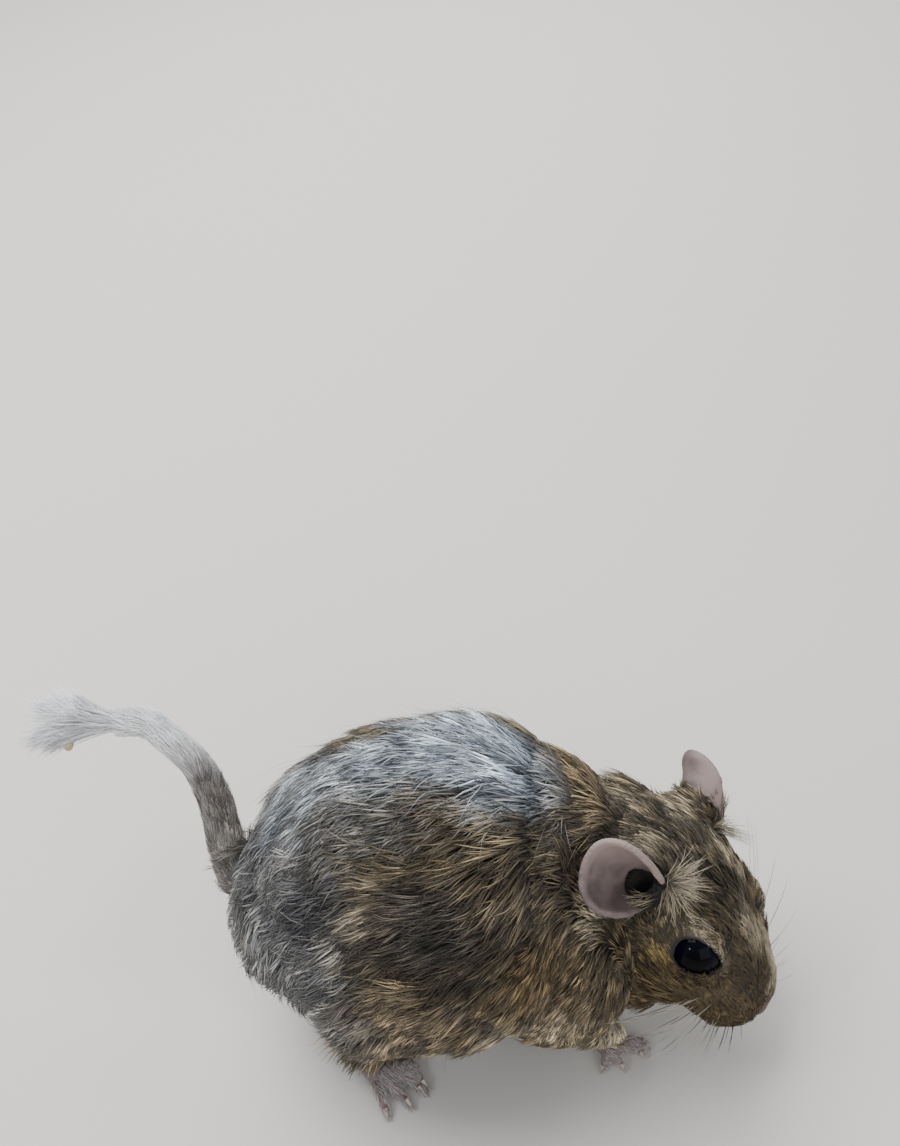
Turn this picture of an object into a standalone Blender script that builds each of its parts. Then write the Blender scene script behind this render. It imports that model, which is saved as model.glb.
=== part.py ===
"""A young degu, still and life size, crouching with its head lowered and turned to its right.

+X is forward along the body, +Y is the animal's left, +Z is up. The floor is Z = 0 and the origin lies
under the middle of the box round the whole animal. The outer faces are the outside of the coat.
"""
import math
import random

import bmesh
import bpy
from mathutils import Euler, Matrix, Vector

MM = 0.001
GAP = 0.3 * MM
NAMES = {-1: "right", 1: "left"}
GOLDEN_TURN = math.radians(137.5)

# Fineness of the fused forms, before the body is thinned out to BODY_FACES triangles.
FACE_VOXEL = 0.45 * MM
ROUGH_VOXEL = 1.0 * MM
FINE_VOXEL = 0.55 * MM
BODY_FACES = 3900

# Torso stations: forward, left, height of the axis, half width, depth above and below the axis.
TORSO = [
    (-50, 5.5, 29.5, 3.5, 5, 3),
    (-47.5, 5.5, 30, 9, 12, 6.5),
    (-42, 5, 30.5, 15.5, 21.5, 11),
    (-32.5, 3.5, 30.5, 24, 33, 17.5),
    (-18, 1.5, 31, 28.5, 39, 17.5),
    (-4, 1, 31, 28, 38.8, 18.5),
    (8, 4, 31, 23, 31.5, 21.5),
    (18, 4, 30.5, 17.5, 22, 20.5),
    (26, -0.5, 29, 14, 13, 16),
    (31, -2, 27, 8, 7, 9),
]
TORSO_SIDES = 28
TORSO_ROOT = (0, 0, 31)

# The limbs' main forms on the animal's left: middle, half lengths and turn. The right ones mirror them.
NECK = (12, 4.5, 38.5), (13.5, 14, 17.5), (0, 0, 0)
NAPE = (24, 4.5, 37), (10, 10.5, 11.5), (0, 0, 0)
THIGH = (-21.5, 14, 29.5), (16.5, 11.5, 13.5), (0, 12, 0)
UPPER_ARM = (8, 16, 23.5), (12, 8.5, 14.5), (0, 20, 0)
SHANK = [(-12, 13.5, 18), (-22, 12, 12), (-31, 8, 7)], [4.6, 4.6, 4.0]
FOREARM = [(10, 16, 17), (14, 16, 10), (17, 15.5, 4.5)], [6.5, 4.8, 3.4]
LEFT_ARM_BACK = 2
LIMB_SIDES = 12

# The head has its own frame: nose tip at the origin, +x out of the nose, +y left, +z up.
NOSE_AT = Vector((43.0, -21.8, 14.2)) * MM
HEAD_TURN, HEAD_NOD, HEAD_TILT = -53.6, 37.7, -12.6
# Head stations: along, middle height, half width, height above and depth below the middle.
HEAD = [
    (-46, -1.0, 8.5, 5.5, 9),
    (-43, -0.5, 12, 7, 13),
    (-37, 0, 13.8, 9.8, 15.5),
    (-30, 0, 14.2, 13, 17),
    (-23, -0.2, 12.9, 13.2, 16.5),
    (-16, -0.6, 11.4, 11.2, 14.5),
    (-10, -1.0, 10.0, 9.4, 12.2),
    (-5, -1.4, 8.4, 7.4, 9.2),
    (-2, -1.6, 6.6, 5.4, 6.6),
    (-0.4, -1.6, 4.0, 3.2, 3.6),
]
HEAD_SIDES = 26

# Forms that stand out from each side of the skull, for the left: middle, half lengths and turn.
FACE_FORMS = {
    "whisker pad": ((-7, 4.4, -3.6), (5.6, 4.2, 4.8), (0, 0, 0)),
    "cheek": ((-20, 8.6, -5.5), (10.5, 5.2, 7), (0, 0, 0)),
    "jowl": ((-14.5, 5.6, -8.6), (6.5, 4, 4.6), (0, 0, 0)),
    "brow": ((-19.5, 7.2, 7.8), (7.5, 2.9, 2.6), (0, 12, -8)),
    "jaw": ((-22, 9.6, -11), (10.5, 6.2, 8.5), (0, 0, 0)),
    "ear root": ((-34, 10.5, 5.5), (6, 4.8, 5.5), (0, 0, 0)),
}
NOSE_PAD = (-1.4, 0, -0.6), (2.2, 3.0, 2.4), (0, 0, 0)
LOWER_LIP = (-7.8, 0, -10.2), (5.6, 4.4, 3.4), (0, 10, 0)
NOSTRIL = (0.2, 1.9, -0.6), (1.5, 0.6, 0.8), (0, 25, 20)
EAR_CANAL = (-35.2, 12.6, 7.6), (2.6, 5, 2.2), (-35, 0, 25)

EYE_RADIUS = 4.9 * MM
EYE_ROOM = 1.6 * GAP
EYE_AT = Vector((-18.2, 7.6, 4.0)) * MM
EYE_OUT = Vector((0.22, 0.92, 0.32)).normalized()
LID_ALONG = Vector((0.92, 0, 0.31))
LID_LENGTH, LID_HEIGHT, LID_THICK = 5.0 * MM, 3.7 * MM, 0.9 * MM
LID_STEPS, LID_SIDES = 20, 8

# Each ear is a thin cup, laid back and outwards, that opens forwards, outwards and up. Its upper side is
# flatter, by EAR_UPPER, and its rim is highest a little towards that side, by EAR_SKEW.
EAR_AT = {"right": Vector((-35.8, 15.6, 10.2)) * MM, "left": Vector((-33.4, 10.9, 6.2)) * MM}
EAR_ALONG = {"right": Vector((-0.62, 0.68, 0.38)), "left": Vector((-0.60, 0.68, 0.14))}
EAR_OPENS = Vector((0.52, 0.60, 0.61))
EAR_SUNK = 5.5 * MM
EAR_TALL, EAR_FOOT, EAR_FLARE, EAR_DEEP = 12.6 * MM, 3.2 * MM, 7.6 * MM, 5.2 * MM
EAR_WALL = 0.9 * MM
EAR_SWEEP = math.radians(122)
EAR_SKEW = 0.12
EAR_UPPER = 0.62
EAR_ACROSS, EAR_UP = 14, 7

# Planes that part head from neck, in the head's frame, and neck from torso, in the animal's.
HEAD_PARTS_AT, HEAD_FACING = Vector((-44, 0, 14)) * MM, Vector((0.93, 0, 0.36)).normalized()
NECK_PARTS_AT, NECK_FACING = Vector((11, 0, 40)) * MM, Vector((0.86, -0.28, 0.05)).normalized()
HALF_SPACE = 0.2

# Forms on the left that part the legs from the trunk: middle, half lengths and turn.
HINDLEG_REACH = [((-23, 27, 21), (23, 13.5, 23), (0, 0, 0)), ((-21, 17, 3), (22, 12.5, 9), (0, 0, 0))]
FORELEG_REACH = [((9, 21, 23), (12.5, 10, 15), (0, 20, 0)), ((15, 16, 5), (9, 8, 10), (0, 0, 0))]

# Feet: where the heel or wrist stands and the turn of the foot.
HIND_HEEL = {"right": (-34.2, -0.8), "left": (-35, 6.5)}
HIND_TURN = {"right": -55, "left": 27}
FORE_WRIST = {"right": (15.0, -13.5), "left": (14.5, 12.5)}
FORE_TURN = {"right": -50, "left": 12}
# Sole stations: along, half width and height. Toes: inward from the middle, angle inward and length.
HIND_SOLE = [(-1.5, 1.2, 2.2), (0, 2.5, 4.2), (5, 3.0, 4.6), (11, 3.5, 4.0), (16, 3.9, 3.2), (18, 2.6, 1.8)]
FORE_SOLE = [(-2, 1.2, 2.4), (0, 2.4, 4.2), (2.5, 2.9, 3.8), (4.2, 2.6, 2.8), (5.2, 1.8, 1.6)]
HIND_TOES = [(3.9, 12, 3.4), (3.0, 4, 6.0), (1.1, 9, 6.5), (-1.3, 0, 6.6), (-3.2, -24, 5.5)]
FORE_TOES = [(1.7, 38, 4.8), (1.0, 30, 5.2), (0.2, 20, 5.2), (-0.9, -22, 3.8), (-1.7, -76, 3.2)]
# The ankle's form: along, half lengths and height of its middle.
HIND_ANKLE = (3.5, (4, 3.2, 6), 6)
FORE_ANKLE = (0.5, (3, 2.8, 5), 5)
# A toe's arch: along its length, height of its middle and half width, before its claw.
TOE_ARCH = [(0, 2.0, 1.15), (0.35, 2.1, 1.05), (0.7, 1.5, 0.95), (0.92, 1.15, 0.9), (1.04, 1.25, 0.5)]
CLAW = [(1.19, 0.95, 0.36), (1.34, 0.35, 0.14)]
TOE_SIDES = 5

TAIL_PATH = [
    (-42, 5, 31), (-46, 10.5, 33), (-48.8, 17.4, 35.3), (-50.2, 26.2, 39.8), (-52.8, 32.3, 44),
    (-56.8, 36.8, 47), (-60.8, 39.8, 49.5), (-65.9, 41.1, 50.3), (-71.2, 41.5, 51), (-75.5, 41.5, 51.6),
]
TAIL_RADII = [5.0, 3.9, 3.2, 2.8, 2.6, 2.6, 2.5, 2.4, 2.1, 1.6]
TAIL_SIDES = 12
TAIL_RINGS = 30
# The lengths of the tail, as stretches of the path from its root, 0, to its end, 1.
TAIL_LENGTHS = {"tail_base": (0, 0.44), "tail_middle": (0.44, 0.78), "tail_tip": (0.78, 1)}
TUFT_START = 0.82
TUFT_LOCKS = 26
TUFT_WAY = Vector((-0.75, -0.1, 0.1))
LOCK_LONG, LOCK_WIDE, LOCK_THICK = 13.0 * MM, 3.4 * MM, 0.9 * MM
# A lock's outline: along its length and its width, as shares.
LOCK_SHAPE = [(0, 0.6), (0.32, 1), (0.66, 0.8), (1, 0.14)]
STUMP_WAY = Vector((-0.25, -0.45, -0.85)).normalized()
# The bare stump: distance from the tail's end and radius.
STUMP = [(0.5, 1.0), (2.0, 1.2), (4.0, 1.35), (5.2, 1.15), (5.9, 0.5)]

# Colour and roughness of each finish, and the finish of each node that isn't coat.
FINISHES = {
    "coat": ((0.20, 0.16, 0.11), 0.9),
    "eye": ((0.01, 0.01, 0.012), 0.08),
    "skin": ((0.33, 0.22, 0.19), 0.7),
    "white hair": ((0.78, 0.78, 0.76), 0.9),
}
FINISHED = {
    "eye_right": "eye", "eye_left": "eye", "ear_right": "skin", "ear_left": "skin",
    "tail_middle": "white hair", "tail_tip": "white hair", "tail_stump": "skin",
}


def clear_scene():
    for thing in list(bpy.data.objects):
        bpy.data.objects.remove(thing)


def add_mesh(name, build):
    """A new object whose mesh is whatever build(bm) makes, with its faces turned outwards."""
    bm = bmesh.new()
    build(bm)
    bmesh.ops.recalc_face_normals(bm, faces=bm.faces)
    mesh = bpy.data.meshes.new(name)
    bm.to_mesh(mesh)
    bm.free()
    made = bpy.data.objects.new(name, mesh)
    bpy.context.scene.collection.objects.link(made)
    return made


def turned(degrees):
    return Euler([math.radians(a) for a in degrees]).to_matrix().to_4x4()


def around(count):
    """Angles evenly round a turn."""
    return [2 * math.pi * k / count for k in range(count)]


def smooth_between(rows, steps):
    """Rows of numbers joined by a smooth curve through them, with steps points for each row."""
    last = len(rows) - 1
    found = []
    for i in range(last):
        a, b, c, d = (rows[min(max(i + k, 0), last)] for k in (-1, 0, 1, 2))
        for step in range(steps):
            t = step / steps
            found.append([
                0.5 * (2 * q + (r - p) * t + (2 * p - 5 * q + 4 * r - s) * t * t
                       + (3 * q - p - 3 * r + s) * t ** 3)
                for p, q, r, s in zip(a, b, c, d)
            ])
    found.append(list(rows[last]))
    return found


def loft(name, rings):
    """A closed skin over rings of equally many points."""
    def build(bm):
        rows = [[bm.verts.new(point) for point in ring] for ring in rings]
        for low, high in zip(rows, rows[1:]):
            for i in range(len(low)):
                j = (i + 1) % len(low)
                bm.faces.new((low[i], low[j], high[j], high[i]))
        for row in (rows[0], rows[-1]):
            middle = bm.verts.new(sum((v.co for v in row), Vector()) / len(row))
            for i in range(len(row)):
                bm.faces.new((row[i], row[(i + 1) % len(row)], middle))
    return add_mesh(name, build)


def tube(name, points, radii, sides):
    """A tapered tube along points."""
    rings = []
    for i, (point, radius) in enumerate(zip(points, radii)):
        along = (points[min(i + 1, len(points) - 1)] - points[max(i - 1, 0)]).normalized()
        across = along.cross(Vector((0, 0, 1))).normalized()
        over = across.cross(along)
        rings.append([point + (across * math.cos(a) + over * math.sin(a)) * radius for a in around(sides)])
    return loft(name, rings)


def blob(name, form, side=1, gap=0.0, fine=16):
    """An ellipsoid: form holds its middle, half lengths (mm) and turn (degrees), mirrored for side -1."""
    (x, y, z), radii, (roll, pitch, yaw) = form
    place = (
        Matrix.Translation(Vector((x, y * side, z)) * MM)
        @ turned((roll * side, pitch, yaw * side))
        @ Matrix.Diagonal((*(r * MM - gap for r in radii), 1))
    )
    return add_mesh(name, lambda bm: bmesh.ops.create_uvsphere(
        bm, u_segments=fine, v_segments=fine // 2 + 2, radius=1, matrix=place))


def box(name, centre, size, turn=Matrix()):
    place = Matrix.Translation(centre) @ turn @ Matrix.Diagonal((*size, 1))
    return add_mesh(name, lambda bm: bmesh.ops.create_cube(bm, size=1, matrix=place))


def mirrored(vector, side):
    """The vector on the animal's left for side 1 and on its right for side -1."""
    return Vector((vector.x, vector.y * side, vector.z))


def head_frame():
    """From the head's own frame to the animal's."""
    return Matrix.Translation(NOSE_AT) @ turned((HEAD_TILT, HEAD_NOD, HEAD_TURN))


def on_head(thing):
    thing.data.transform(head_frame())
    return thing


def settle(thing):
    """Turns the object's modifiers into its mesh."""
    graph = bpy.context.evaluated_depsgraph_get()
    mesh = bpy.data.meshes.new_from_object(thing.evaluated_get(graph))
    thing.modifiers.clear()
    thing.data = mesh
    return thing


def keep_largest(thing):
    """Drops every closed surface of the mesh but the largest."""
    bm = bmesh.new()
    bm.from_mesh(thing.data)
    left, best = set(bm.verts), []
    while left:
        start = left.pop()
        found, edge = [start], [start]
        while edge:
            vert = edge.pop()
            for other in (e.other_vert(vert) for e in vert.link_edges):
                if other in left:
                    left.remove(other)
                    found.append(other)
                    edge.append(other)
        if len(found) > len(best):
            best = found
    kept = set(best)
    bmesh.ops.delete(bm, geom=[v for v in bm.verts if v not in kept], context="VERTS")
    bm.to_mesh(thing.data)
    bm.free()
    return thing


def copy_of(thing, name):
    made = thing.copy()
    made.data = thing.data.copy()
    made.name = name
    bpy.context.scene.collection.objects.link(made)
    return made


def boolean(thing, cutter, operation, solver="MANIFOLD"):
    """Applies one Boolean and removes the cutter."""
    step = thing.modifiers.new(operation, "BOOLEAN")
    step.operation = operation
    step.solver = solver
    step.object = cutter
    settle(thing)
    bpy.data.objects.remove(cutter)
    return thing


def union(name, pieces):
    """Joins closed pieces into one closed body with a single Boolean on their collection."""
    first, rest = pieces[0], pieces[1:]
    first.name = name
    group = bpy.data.collections.new(name + " pieces")
    bpy.context.scene.collection.children.link(group)
    for piece in rest:
        bpy.context.scene.collection.objects.unlink(piece)
        group.objects.link(piece)
    step = first.modifiers.new("join", "BOOLEAN")
    step.operation = "UNION"
    step.solver = "MANIFOLD"
    step.operand_type = "COLLECTION"
    step.collection = group
    settle(first)
    for piece in rest:
        bpy.data.objects.remove(piece)
    bpy.data.collections.remove(group)
    return keep_largest(first)


def fused(name, pieces, voxel, smoothing):
    """Melts overlapping closed pieces into one smooth body."""
    bm = bmesh.new()
    for piece in pieces:
        bm.from_mesh(piece.data)
        bpy.data.objects.remove(piece)
    mesh = bpy.data.meshes.new(name)
    bm.to_mesh(mesh)
    bm.free()
    made = bpy.data.objects.new(name, mesh)
    bpy.context.scene.collection.objects.link(made)
    melt = made.modifiers.new("melt", "REMESH")
    melt.mode = "VOXEL"
    melt.voxel_size = voxel
    soften = made.modifiers.new("soften", "SMOOTH")
    soften.factor = 0.5
    soften.iterations = smoothing
    return keep_largest(settle(made))


def grown(thing, by):
    """A copy whose surface stands by outside the original, for trimming what meets it."""
    made = copy_of(thing, thing.name + " grown")
    swell = made.modifiers.new("swell", "DISPLACE")
    swell.mid_level = 0
    swell.strength = by
    return settle(made)


def trim(thing, *neighbours):
    """Cuts the thing back to the gap that it keeps from its neighbours."""
    for neighbour in neighbours:
        boolean(thing, grown(neighbour, GAP), "DIFFERENCE")
    return keep_largest(thing)


def torso():
    rings = []
    for x, y, z, wide, up, down in smooth_between(TORSO, 3):
        rings.append([
            Vector((x, y + wide * math.cos(a), z + (up if math.sin(a) > 0 else down) * math.sin(a))) * MM
            for a in around(TORSO_SIDES)
        ])
    return loft("torso", rings)


def skull(swell=1.0):
    rings = []
    for x, z, wide, up, down in smooth_between(HEAD, 3):
        rings.append([
            Vector((x, swell * wide * math.cos(a),
                    z + swell * (up if math.sin(a) > 0 else down) * math.sin(a))) * MM
            for a in around(HEAD_SIDES)
        ])
    return on_head(loft("skull", rings))


def limb(name, points, radii, side, back=0):
    """A tapered length of leg through points on the left, in mm, mirrored for side -1."""
    places = [Vector((x - back, y * side, z)) * MM for x, y, z in points]
    return tube(name, places, [r * MM for r in radii], LIMB_SIDES)


def legs(side):
    """The thigh and shank, upper arm and forearm of one side. The left arm stands a little further back."""
    back = LEFT_ARM_BACK if side > 0 else 0
    (x, y, z), radii, turn = UPPER_ARM
    return [
        blob("thigh", THIGH, side),
        limb("shank", *SHANK, side),
        blob("upper arm", ((x - back, y, z), radii, turn), side),
        limb("forearm", *FOREARM, side, back),
    ]


def lid_ring(side):
    """The rim of the eyelids, an almond round the ball."""
    out = mirrored(EYE_OUT, side)
    along = (LID_ALONG - out * LID_ALONG.dot(out)).normalized()
    over = out.cross(along) * side
    centre = mirrored(EYE_AT, side)
    points = []
    for a in around(LID_STEPS):
        pinch = math.copysign(abs(math.sin(a)) ** 1.15, math.sin(a))
        flat = along * LID_LENGTH * math.cos(a) + over * LID_HEIGHT * pinch
        rise = math.sqrt(EYE_RADIUS ** 2 - min(flat.length, 0.97 * EYE_RADIUS) ** 2)
        points.append(centre + flat + out * (rise + 0.1 * MM))
    rings = []
    for i, point in enumerate(points):
        forward = (points[(i + 1) % LID_STEPS] - points[i - 1]).normalized()
        outward = (point - centre).normalized()
        across = forward.cross(outward).normalized()
        rings.append([point + (across * math.cos(a) + outward * math.sin(a)) * LID_THICK
                      for a in around(LID_SIDES)])

    def build(bm):
        rows = [[bm.verts.new(p) for p in ring] for ring in rings]
        for i, low in enumerate(rows):
            high = rows[(i + 1) % len(rows)]
            for j in range(LID_SIDES):
                k = (j + 1) % LID_SIDES
                bm.faces.new((low[j], low[k], high[k], high[j]))
    return on_head(add_mesh("lids", build))


def face():
    """The skull with the forms of the face that stand out from it: pads, lips, nose, cheeks, brows and lids."""
    pieces = [skull(), on_head(blob("nose pad", NOSE_PAD)), on_head(blob("lower lip", LOWER_LIP))]
    for side in (-1, 1):
        pieces += [on_head(blob(name, form, side)) for name, form in FACE_FORMS.items()]
        pieces.append(lid_ring(side))
    return fused("face", pieces, FACE_VOXEL, 4)


def whole_body():
    pieces = [torso(), blob("neck", NECK), blob("nape", NAPE), skull(0.97)] + legs(-1) + legs(1)
    rough = fused("rough", pieces, ROUGH_VOXEL, 14)
    body = fused("body", [rough, face()], FINE_VOXEL, 3)
    thin = body.modifiers.new("thin", "DECIMATE")
    thin.ratio = BODY_FACES / (2 * len(body.data.polygons))
    return settle(body)


def part_off(body, name, region):
    """Parts off what lies inside the closed form region(gap), which is drawn in by that gap."""
    piece = keep_largest(boolean(copy_of(body, name), region(GAP), "INTERSECT"))
    keep_largest(boolean(body, region(0), "DIFFERENCE"))
    return piece


def leg_region(reach, side):
    """Where a leg parts from the trunk: the forms in reach, joined."""
    return lambda gap: union("region", [blob("form", form, side, gap, 18) for form in reach])


def beyond(point, facing):
    """The half of space past a point, towards facing, drawn in by a gap."""
    def region(gap):
        across = facing.to_track_quat("X", "Z").to_matrix().to_4x4()
        middle = point + facing * (HALF_SPACE / 2 + gap)
        return box("region", middle, (HALF_SPACE, HALF_SPACE, HALF_SPACE), across)
    return region


def eyeball(name, side, radius):
    """A ball in the eye's place, its pole outwards."""
    out = mirrored(EYE_OUT, side)
    place = Matrix.Translation(mirrored(EYE_AT, side)) @ out.to_track_quat("Z", "X").to_matrix().to_4x4()
    return on_head(add_mesh(name, lambda bm: bmesh.ops.create_uvsphere(
        bm, u_segments=16, v_segments=11, radius=radius, matrix=place)))


def ear(side):
    """A thin cup that rises from a funnel at its foot and spreads to a broad round rim."""
    along = mirrored(EAR_ALONG[NAMES[side]].normalized(), side)
    opens = mirrored(EAR_OPENS, side)
    opens = (opens - along * opens.dot(along)).normalized()
    across = along.cross(opens) * side
    foot = mirrored(EAR_AT[NAMES[side]], side) - along * EAR_SUNK

    def build(bm):
        rows = []
        for i in range(EAR_ACROSS + 1):
            share = 2 * i / EAR_ACROSS - 1
            a = EAR_SWEEP * share
            crest = max(0, math.cos(0.5 * math.pi * (share + EAR_SKEW * (1 - share * share))))
            reach = EAR_SUNK + EAR_TALL * (0.12 + 0.88 * crest ** 0.6)
            row = []
            for j in range(EAR_UP + 1):
                high = reach * j / EAR_UP
                spread = math.sin(0.5 * math.pi * min(high / (EAR_SUNK + 0.8 * EAR_TALL), 1))
                wide = EAR_FOOT + (EAR_FLARE - EAR_FOOT) * spread
                deep = EAR_FOOT + (EAR_DEEP - EAR_FOOT) * spread
                ahead = deep * (1 - math.cos(a)) - EAR_FOOT
                aside = wide * math.sin(a) * (EAR_UPPER if a < 0 else 1)
                row.append(bm.verts.new(foot + along * high + opens * ahead + across * aside))
            rows.append(row)
        for left, right in zip(rows, rows[1:]):
            for j in range(EAR_UP):
                bm.faces.new((left[j], right[j], right[j + 1], left[j + 1]))
    sheet = on_head(add_mesh("ear_" + NAMES[side], build))
    wall = sheet.modifiers.new("wall", "SOLIDIFY")
    wall.thickness = EAR_WALL
    wall.offset = 0
    wall.use_even_offset = True
    return settle(sheet)


def furrow(head, name, centre, size, pitch, depth):
    """A furrow of even depth that follows the skin where a thin plate crosses it. Sizes are in mm."""
    plate = box(name, Vector(centre) * MM, [s * MM for s in size], turned((0, pitch, 0)))
    return boolean(on_head(plate), grown(head, -depth), "DIFFERENCE", "EXACT")


def carve_face(head):
    """Sockets, ear canals, nostrils, the line of the mouth and the groove above it."""
    cuts = [
        furrow(head, "mouth", (-5.0, 0, -6.9), (19, 24, 0.7), -4, 1.1 * MM),
        furrow(head, "lip groove", (-1.0, 0, -4.3), (7, 0.6, 5.0), 0, 0.8 * MM),
    ]
    for side in (-1, 1):
        cuts += [
            eyeball("socket", side, EYE_RADIUS + EYE_ROOM),
            on_head(blob("ear canal", EAR_CANAL, side, fine=12)),
            on_head(blob("nostril", NOSTRIL, side, fine=10)),
        ]
    for cut in cuts:
        boolean(head, cut, "DIFFERENCE")
    return keep_largest(head)


def toe(start, angle, long, thick):
    """A toe that arches to its pad and ends in a short claw, on the floor."""
    ahead = Vector((math.cos(angle), math.sin(angle), 0))
    rows = TOE_ARCH + CLAW
    points = [start + ahead * along * long + Vector((0, 0, high * MM)) for along, high, wide in rows]
    return tube("toe", points, [wide * thick for along, high, wide in rows], TOE_SIDES)


def foot(name, side, heel, turn, ankle, sole, toes, thick):
    """A foot with its sole on the floor, its toes fanned out from the front of the sole."""
    facing = math.radians(turn)
    ahead = Vector((math.cos(facing), math.sin(facing), 0))
    inward = Vector((ahead.y, -ahead.x, 0)) * side
    heel = Vector((*heel, 0)) * MM
    rings = []
    for along, wide, high in sole:
        middle = heel + (ahead * along + Vector((0, 0, high * 0.42))) * MM
        rings.append([middle + (inward * wide * math.cos(a) + Vector((0, 0, high * 0.6)) * math.sin(a)) * MM
                      for a in around(LIMB_SIDES)])
    back, radii, high = ankle
    middle = heel / MM + ahead * back + Vector((0, 0, high))
    pieces = [loft(name, rings), blob("ankle", (middle, radii, (0, 0, turn)), fine=12)]
    front = heel + ahead * (sole[-2][0] - 1) * MM
    for aside, angle, long in toes:
        start = front + inward * aside * MM
        pieces.append(toe(start, facing - side * math.radians(angle), long * MM, thick * MM))
    floor = box("floor", Vector((0, 0, -HALF_SPACE / 2)), (2 * HALF_SPACE, 2 * HALF_SPACE, HALF_SPACE))
    return keep_largest(boolean(union(name, pieces), floor, "DIFFERENCE"))


def hind_foot(side):
    name = NAMES[side]
    return foot("hindfoot_" + name, side, HIND_HEEL[name], HIND_TURN[name],
                HIND_ANKLE, HIND_SOLE, HIND_TOES, 1.0)


def fore_foot(side):
    name = NAMES[side]
    return foot("forefoot_" + name, side, FORE_WRIST[name], FORE_TURN[name],
                FORE_ANKLE, FORE_SOLE, FORE_TOES, 0.85)


def tail_curve(first, last, steps):
    """Points and radii along a stretch of the tail."""
    rows = [(*point, radius) for point, radius in zip(TAIL_PATH, TAIL_RADII)]
    fine = smooth_between(rows, 8)
    low, high = first * (len(fine) - 1), last * (len(fine) - 1)
    found = []
    for k in range(steps + 1):
        at = low + (high - low) * k / steps
        i = min(int(at), len(fine) - 2)
        found.append([a + (b - a) * (at - i) for a, b in zip(fine[i], fine[i + 1])])
    return [Vector(row[:3]) * MM for row in found], [row[3] * MM for row in found]


def tail_length(name, first, last):
    """One length of the tail, short of the next by the gap, or rounded at the tail's end."""
    points, radii = tail_curve(first, last, max(6, round(TAIL_RINGS * (last - first))))
    if last < 1:
        points[-1] += (points[-2] - points[-1]).normalized() * GAP
    else:
        points.append(points[-1] + (points[-1] - points[-2]).normalized() * radii[-1] / 2)
        radii.append(radii[-1] * 0.6)
    return tube(name, points, radii, TAIL_SIDES)


def lock(root, heading, over, long, wide, droop):
    """A flat tapered lock of hair from its root, bending by droop along over."""
    across = heading.cross(over).normalized()
    flat = across.cross(heading).normalized()
    rings = []
    for share, spread in LOCK_SHAPE:
        middle = root + heading * long * share + flat * droop * long * share * share
        thick = LOCK_THICK * (0.35 + 0.65 * spread)
        rings.append([middle + (across * wide * spread * math.cos(a) + flat * thick * math.sin(a)) / 2
                      for a in around(4)])
    return loft("lock", rings)


def tuft(core):
    """The tail's end: a white core with locks that fan out backwards, joined into one body."""
    draw = random.Random(7)
    points, radii = tail_curve(TUFT_START, 1, TUFT_LOCKS - 1)
    locks = []
    for k, (point, radius) in enumerate(zip(points, radii)):
        ahead = (points[min(k + 1, TUFT_LOCKS - 1)] - points[max(k - 1, 0)]).normalized()
        across = ahead.cross(Vector((0, 0, 1))).normalized()
        a = k * GOLDEN_TURN
        out = across * math.cos(a) + across.cross(ahead) * math.sin(a)
        lean = draw.uniform(0.25, 0.85)
        heading = (ahead + out * lean + TUFT_WAY * 0.35).normalized()
        long = LOCK_LONG * (1.05 - 0.35 * lean) * draw.uniform(0.85, 1.0)
        wide = LOCK_WIDE * draw.uniform(0.85, 1.15)
        locks.append(lock(point + out * radius * 0.3, heading, out, long, wide, draw.uniform(-0.2, 0.1)))
    return union(core.name, [core] + locks)


def stump():
    """The bare end of the tail's core, which shows below the tuft."""
    points, _ = tail_curve(0, 1, 1)
    places = [points[-1] + STUMP_WAY * along * MM for along, radius in STUMP]
    return tube("tail_stump", places, [radius * MM for along, radius in STUMP], LIMB_SIDES)


def roots():
    """Where each node grows from, which is its origin."""
    on = head_frame()
    found = {"torso": Vector(TORSO_ROOT) * MM, "neck": NECK_PARTS_AT, "head": on @ HEAD_PARTS_AT}
    for side, name in NAMES.items():
        found["hindleg_" + name] = mirrored(Vector(THIGH[0]), side) * MM
        found["foreleg_" + name] = mirrored(Vector(UPPER_ARM[0]), side) * MM
        found["hindfoot_" + name] = Vector((*HIND_HEEL[name], 0)) * MM
        found["forefoot_" + name] = Vector((*FORE_WRIST[name], 0)) * MM
        found["ear_" + name] = on @ mirrored(EAR_AT[name], side)
        found["eye_" + name] = on @ mirrored(EYE_AT, side)
    for name, (first, last) in TAIL_LENGTHS.items():
        found[name] = tail_curve(first, last, 1)[0][0]
    found["tail_stump"] = tail_curve(0, 1, 1)[0][-1]
    return found


def stand_up(nodes):
    """Hangs every node on one empty, so that the middle of the box's floor is the origin."""
    low = Vector([min(v.co[i] for n in nodes for v in n.data.vertices) for i in range(3)])
    high = Vector([max(v.co[i] for n in nodes for v in n.data.vertices) for i in range(3)])
    carrier = bpy.data.objects.new("degu", None)
    carrier.location = (-(low.x + high.x) / 2, -(low.y + high.y) / 2, -low.z)
    group = bpy.data.collections.new("degu")
    bpy.context.scene.collection.children.link(group)
    group.objects.link(carrier)
    places = roots()
    for node in nodes:
        node.data.transform(Matrix.Translation(-places[node.name]))
        node.location = places[node.name]
        node.parent = carrier
        bpy.context.scene.collection.objects.unlink(node)
        group.objects.link(node)


def finish(node):
    """Gives the node a material of its own."""
    colour, roughness = FINISHES[FINISHED.get(node.name, "coat")]
    made = bpy.data.materials.new(node.name)
    made.use_nodes = True
    shader = made.node_tree.nodes["Principled BSDF"]
    shader.inputs["Base Color"].default_value = (*colour, 1)
    shader.inputs["Roughness"].default_value = roughness
    node.data.materials.clear()
    node.data.materials.append(made)


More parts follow.
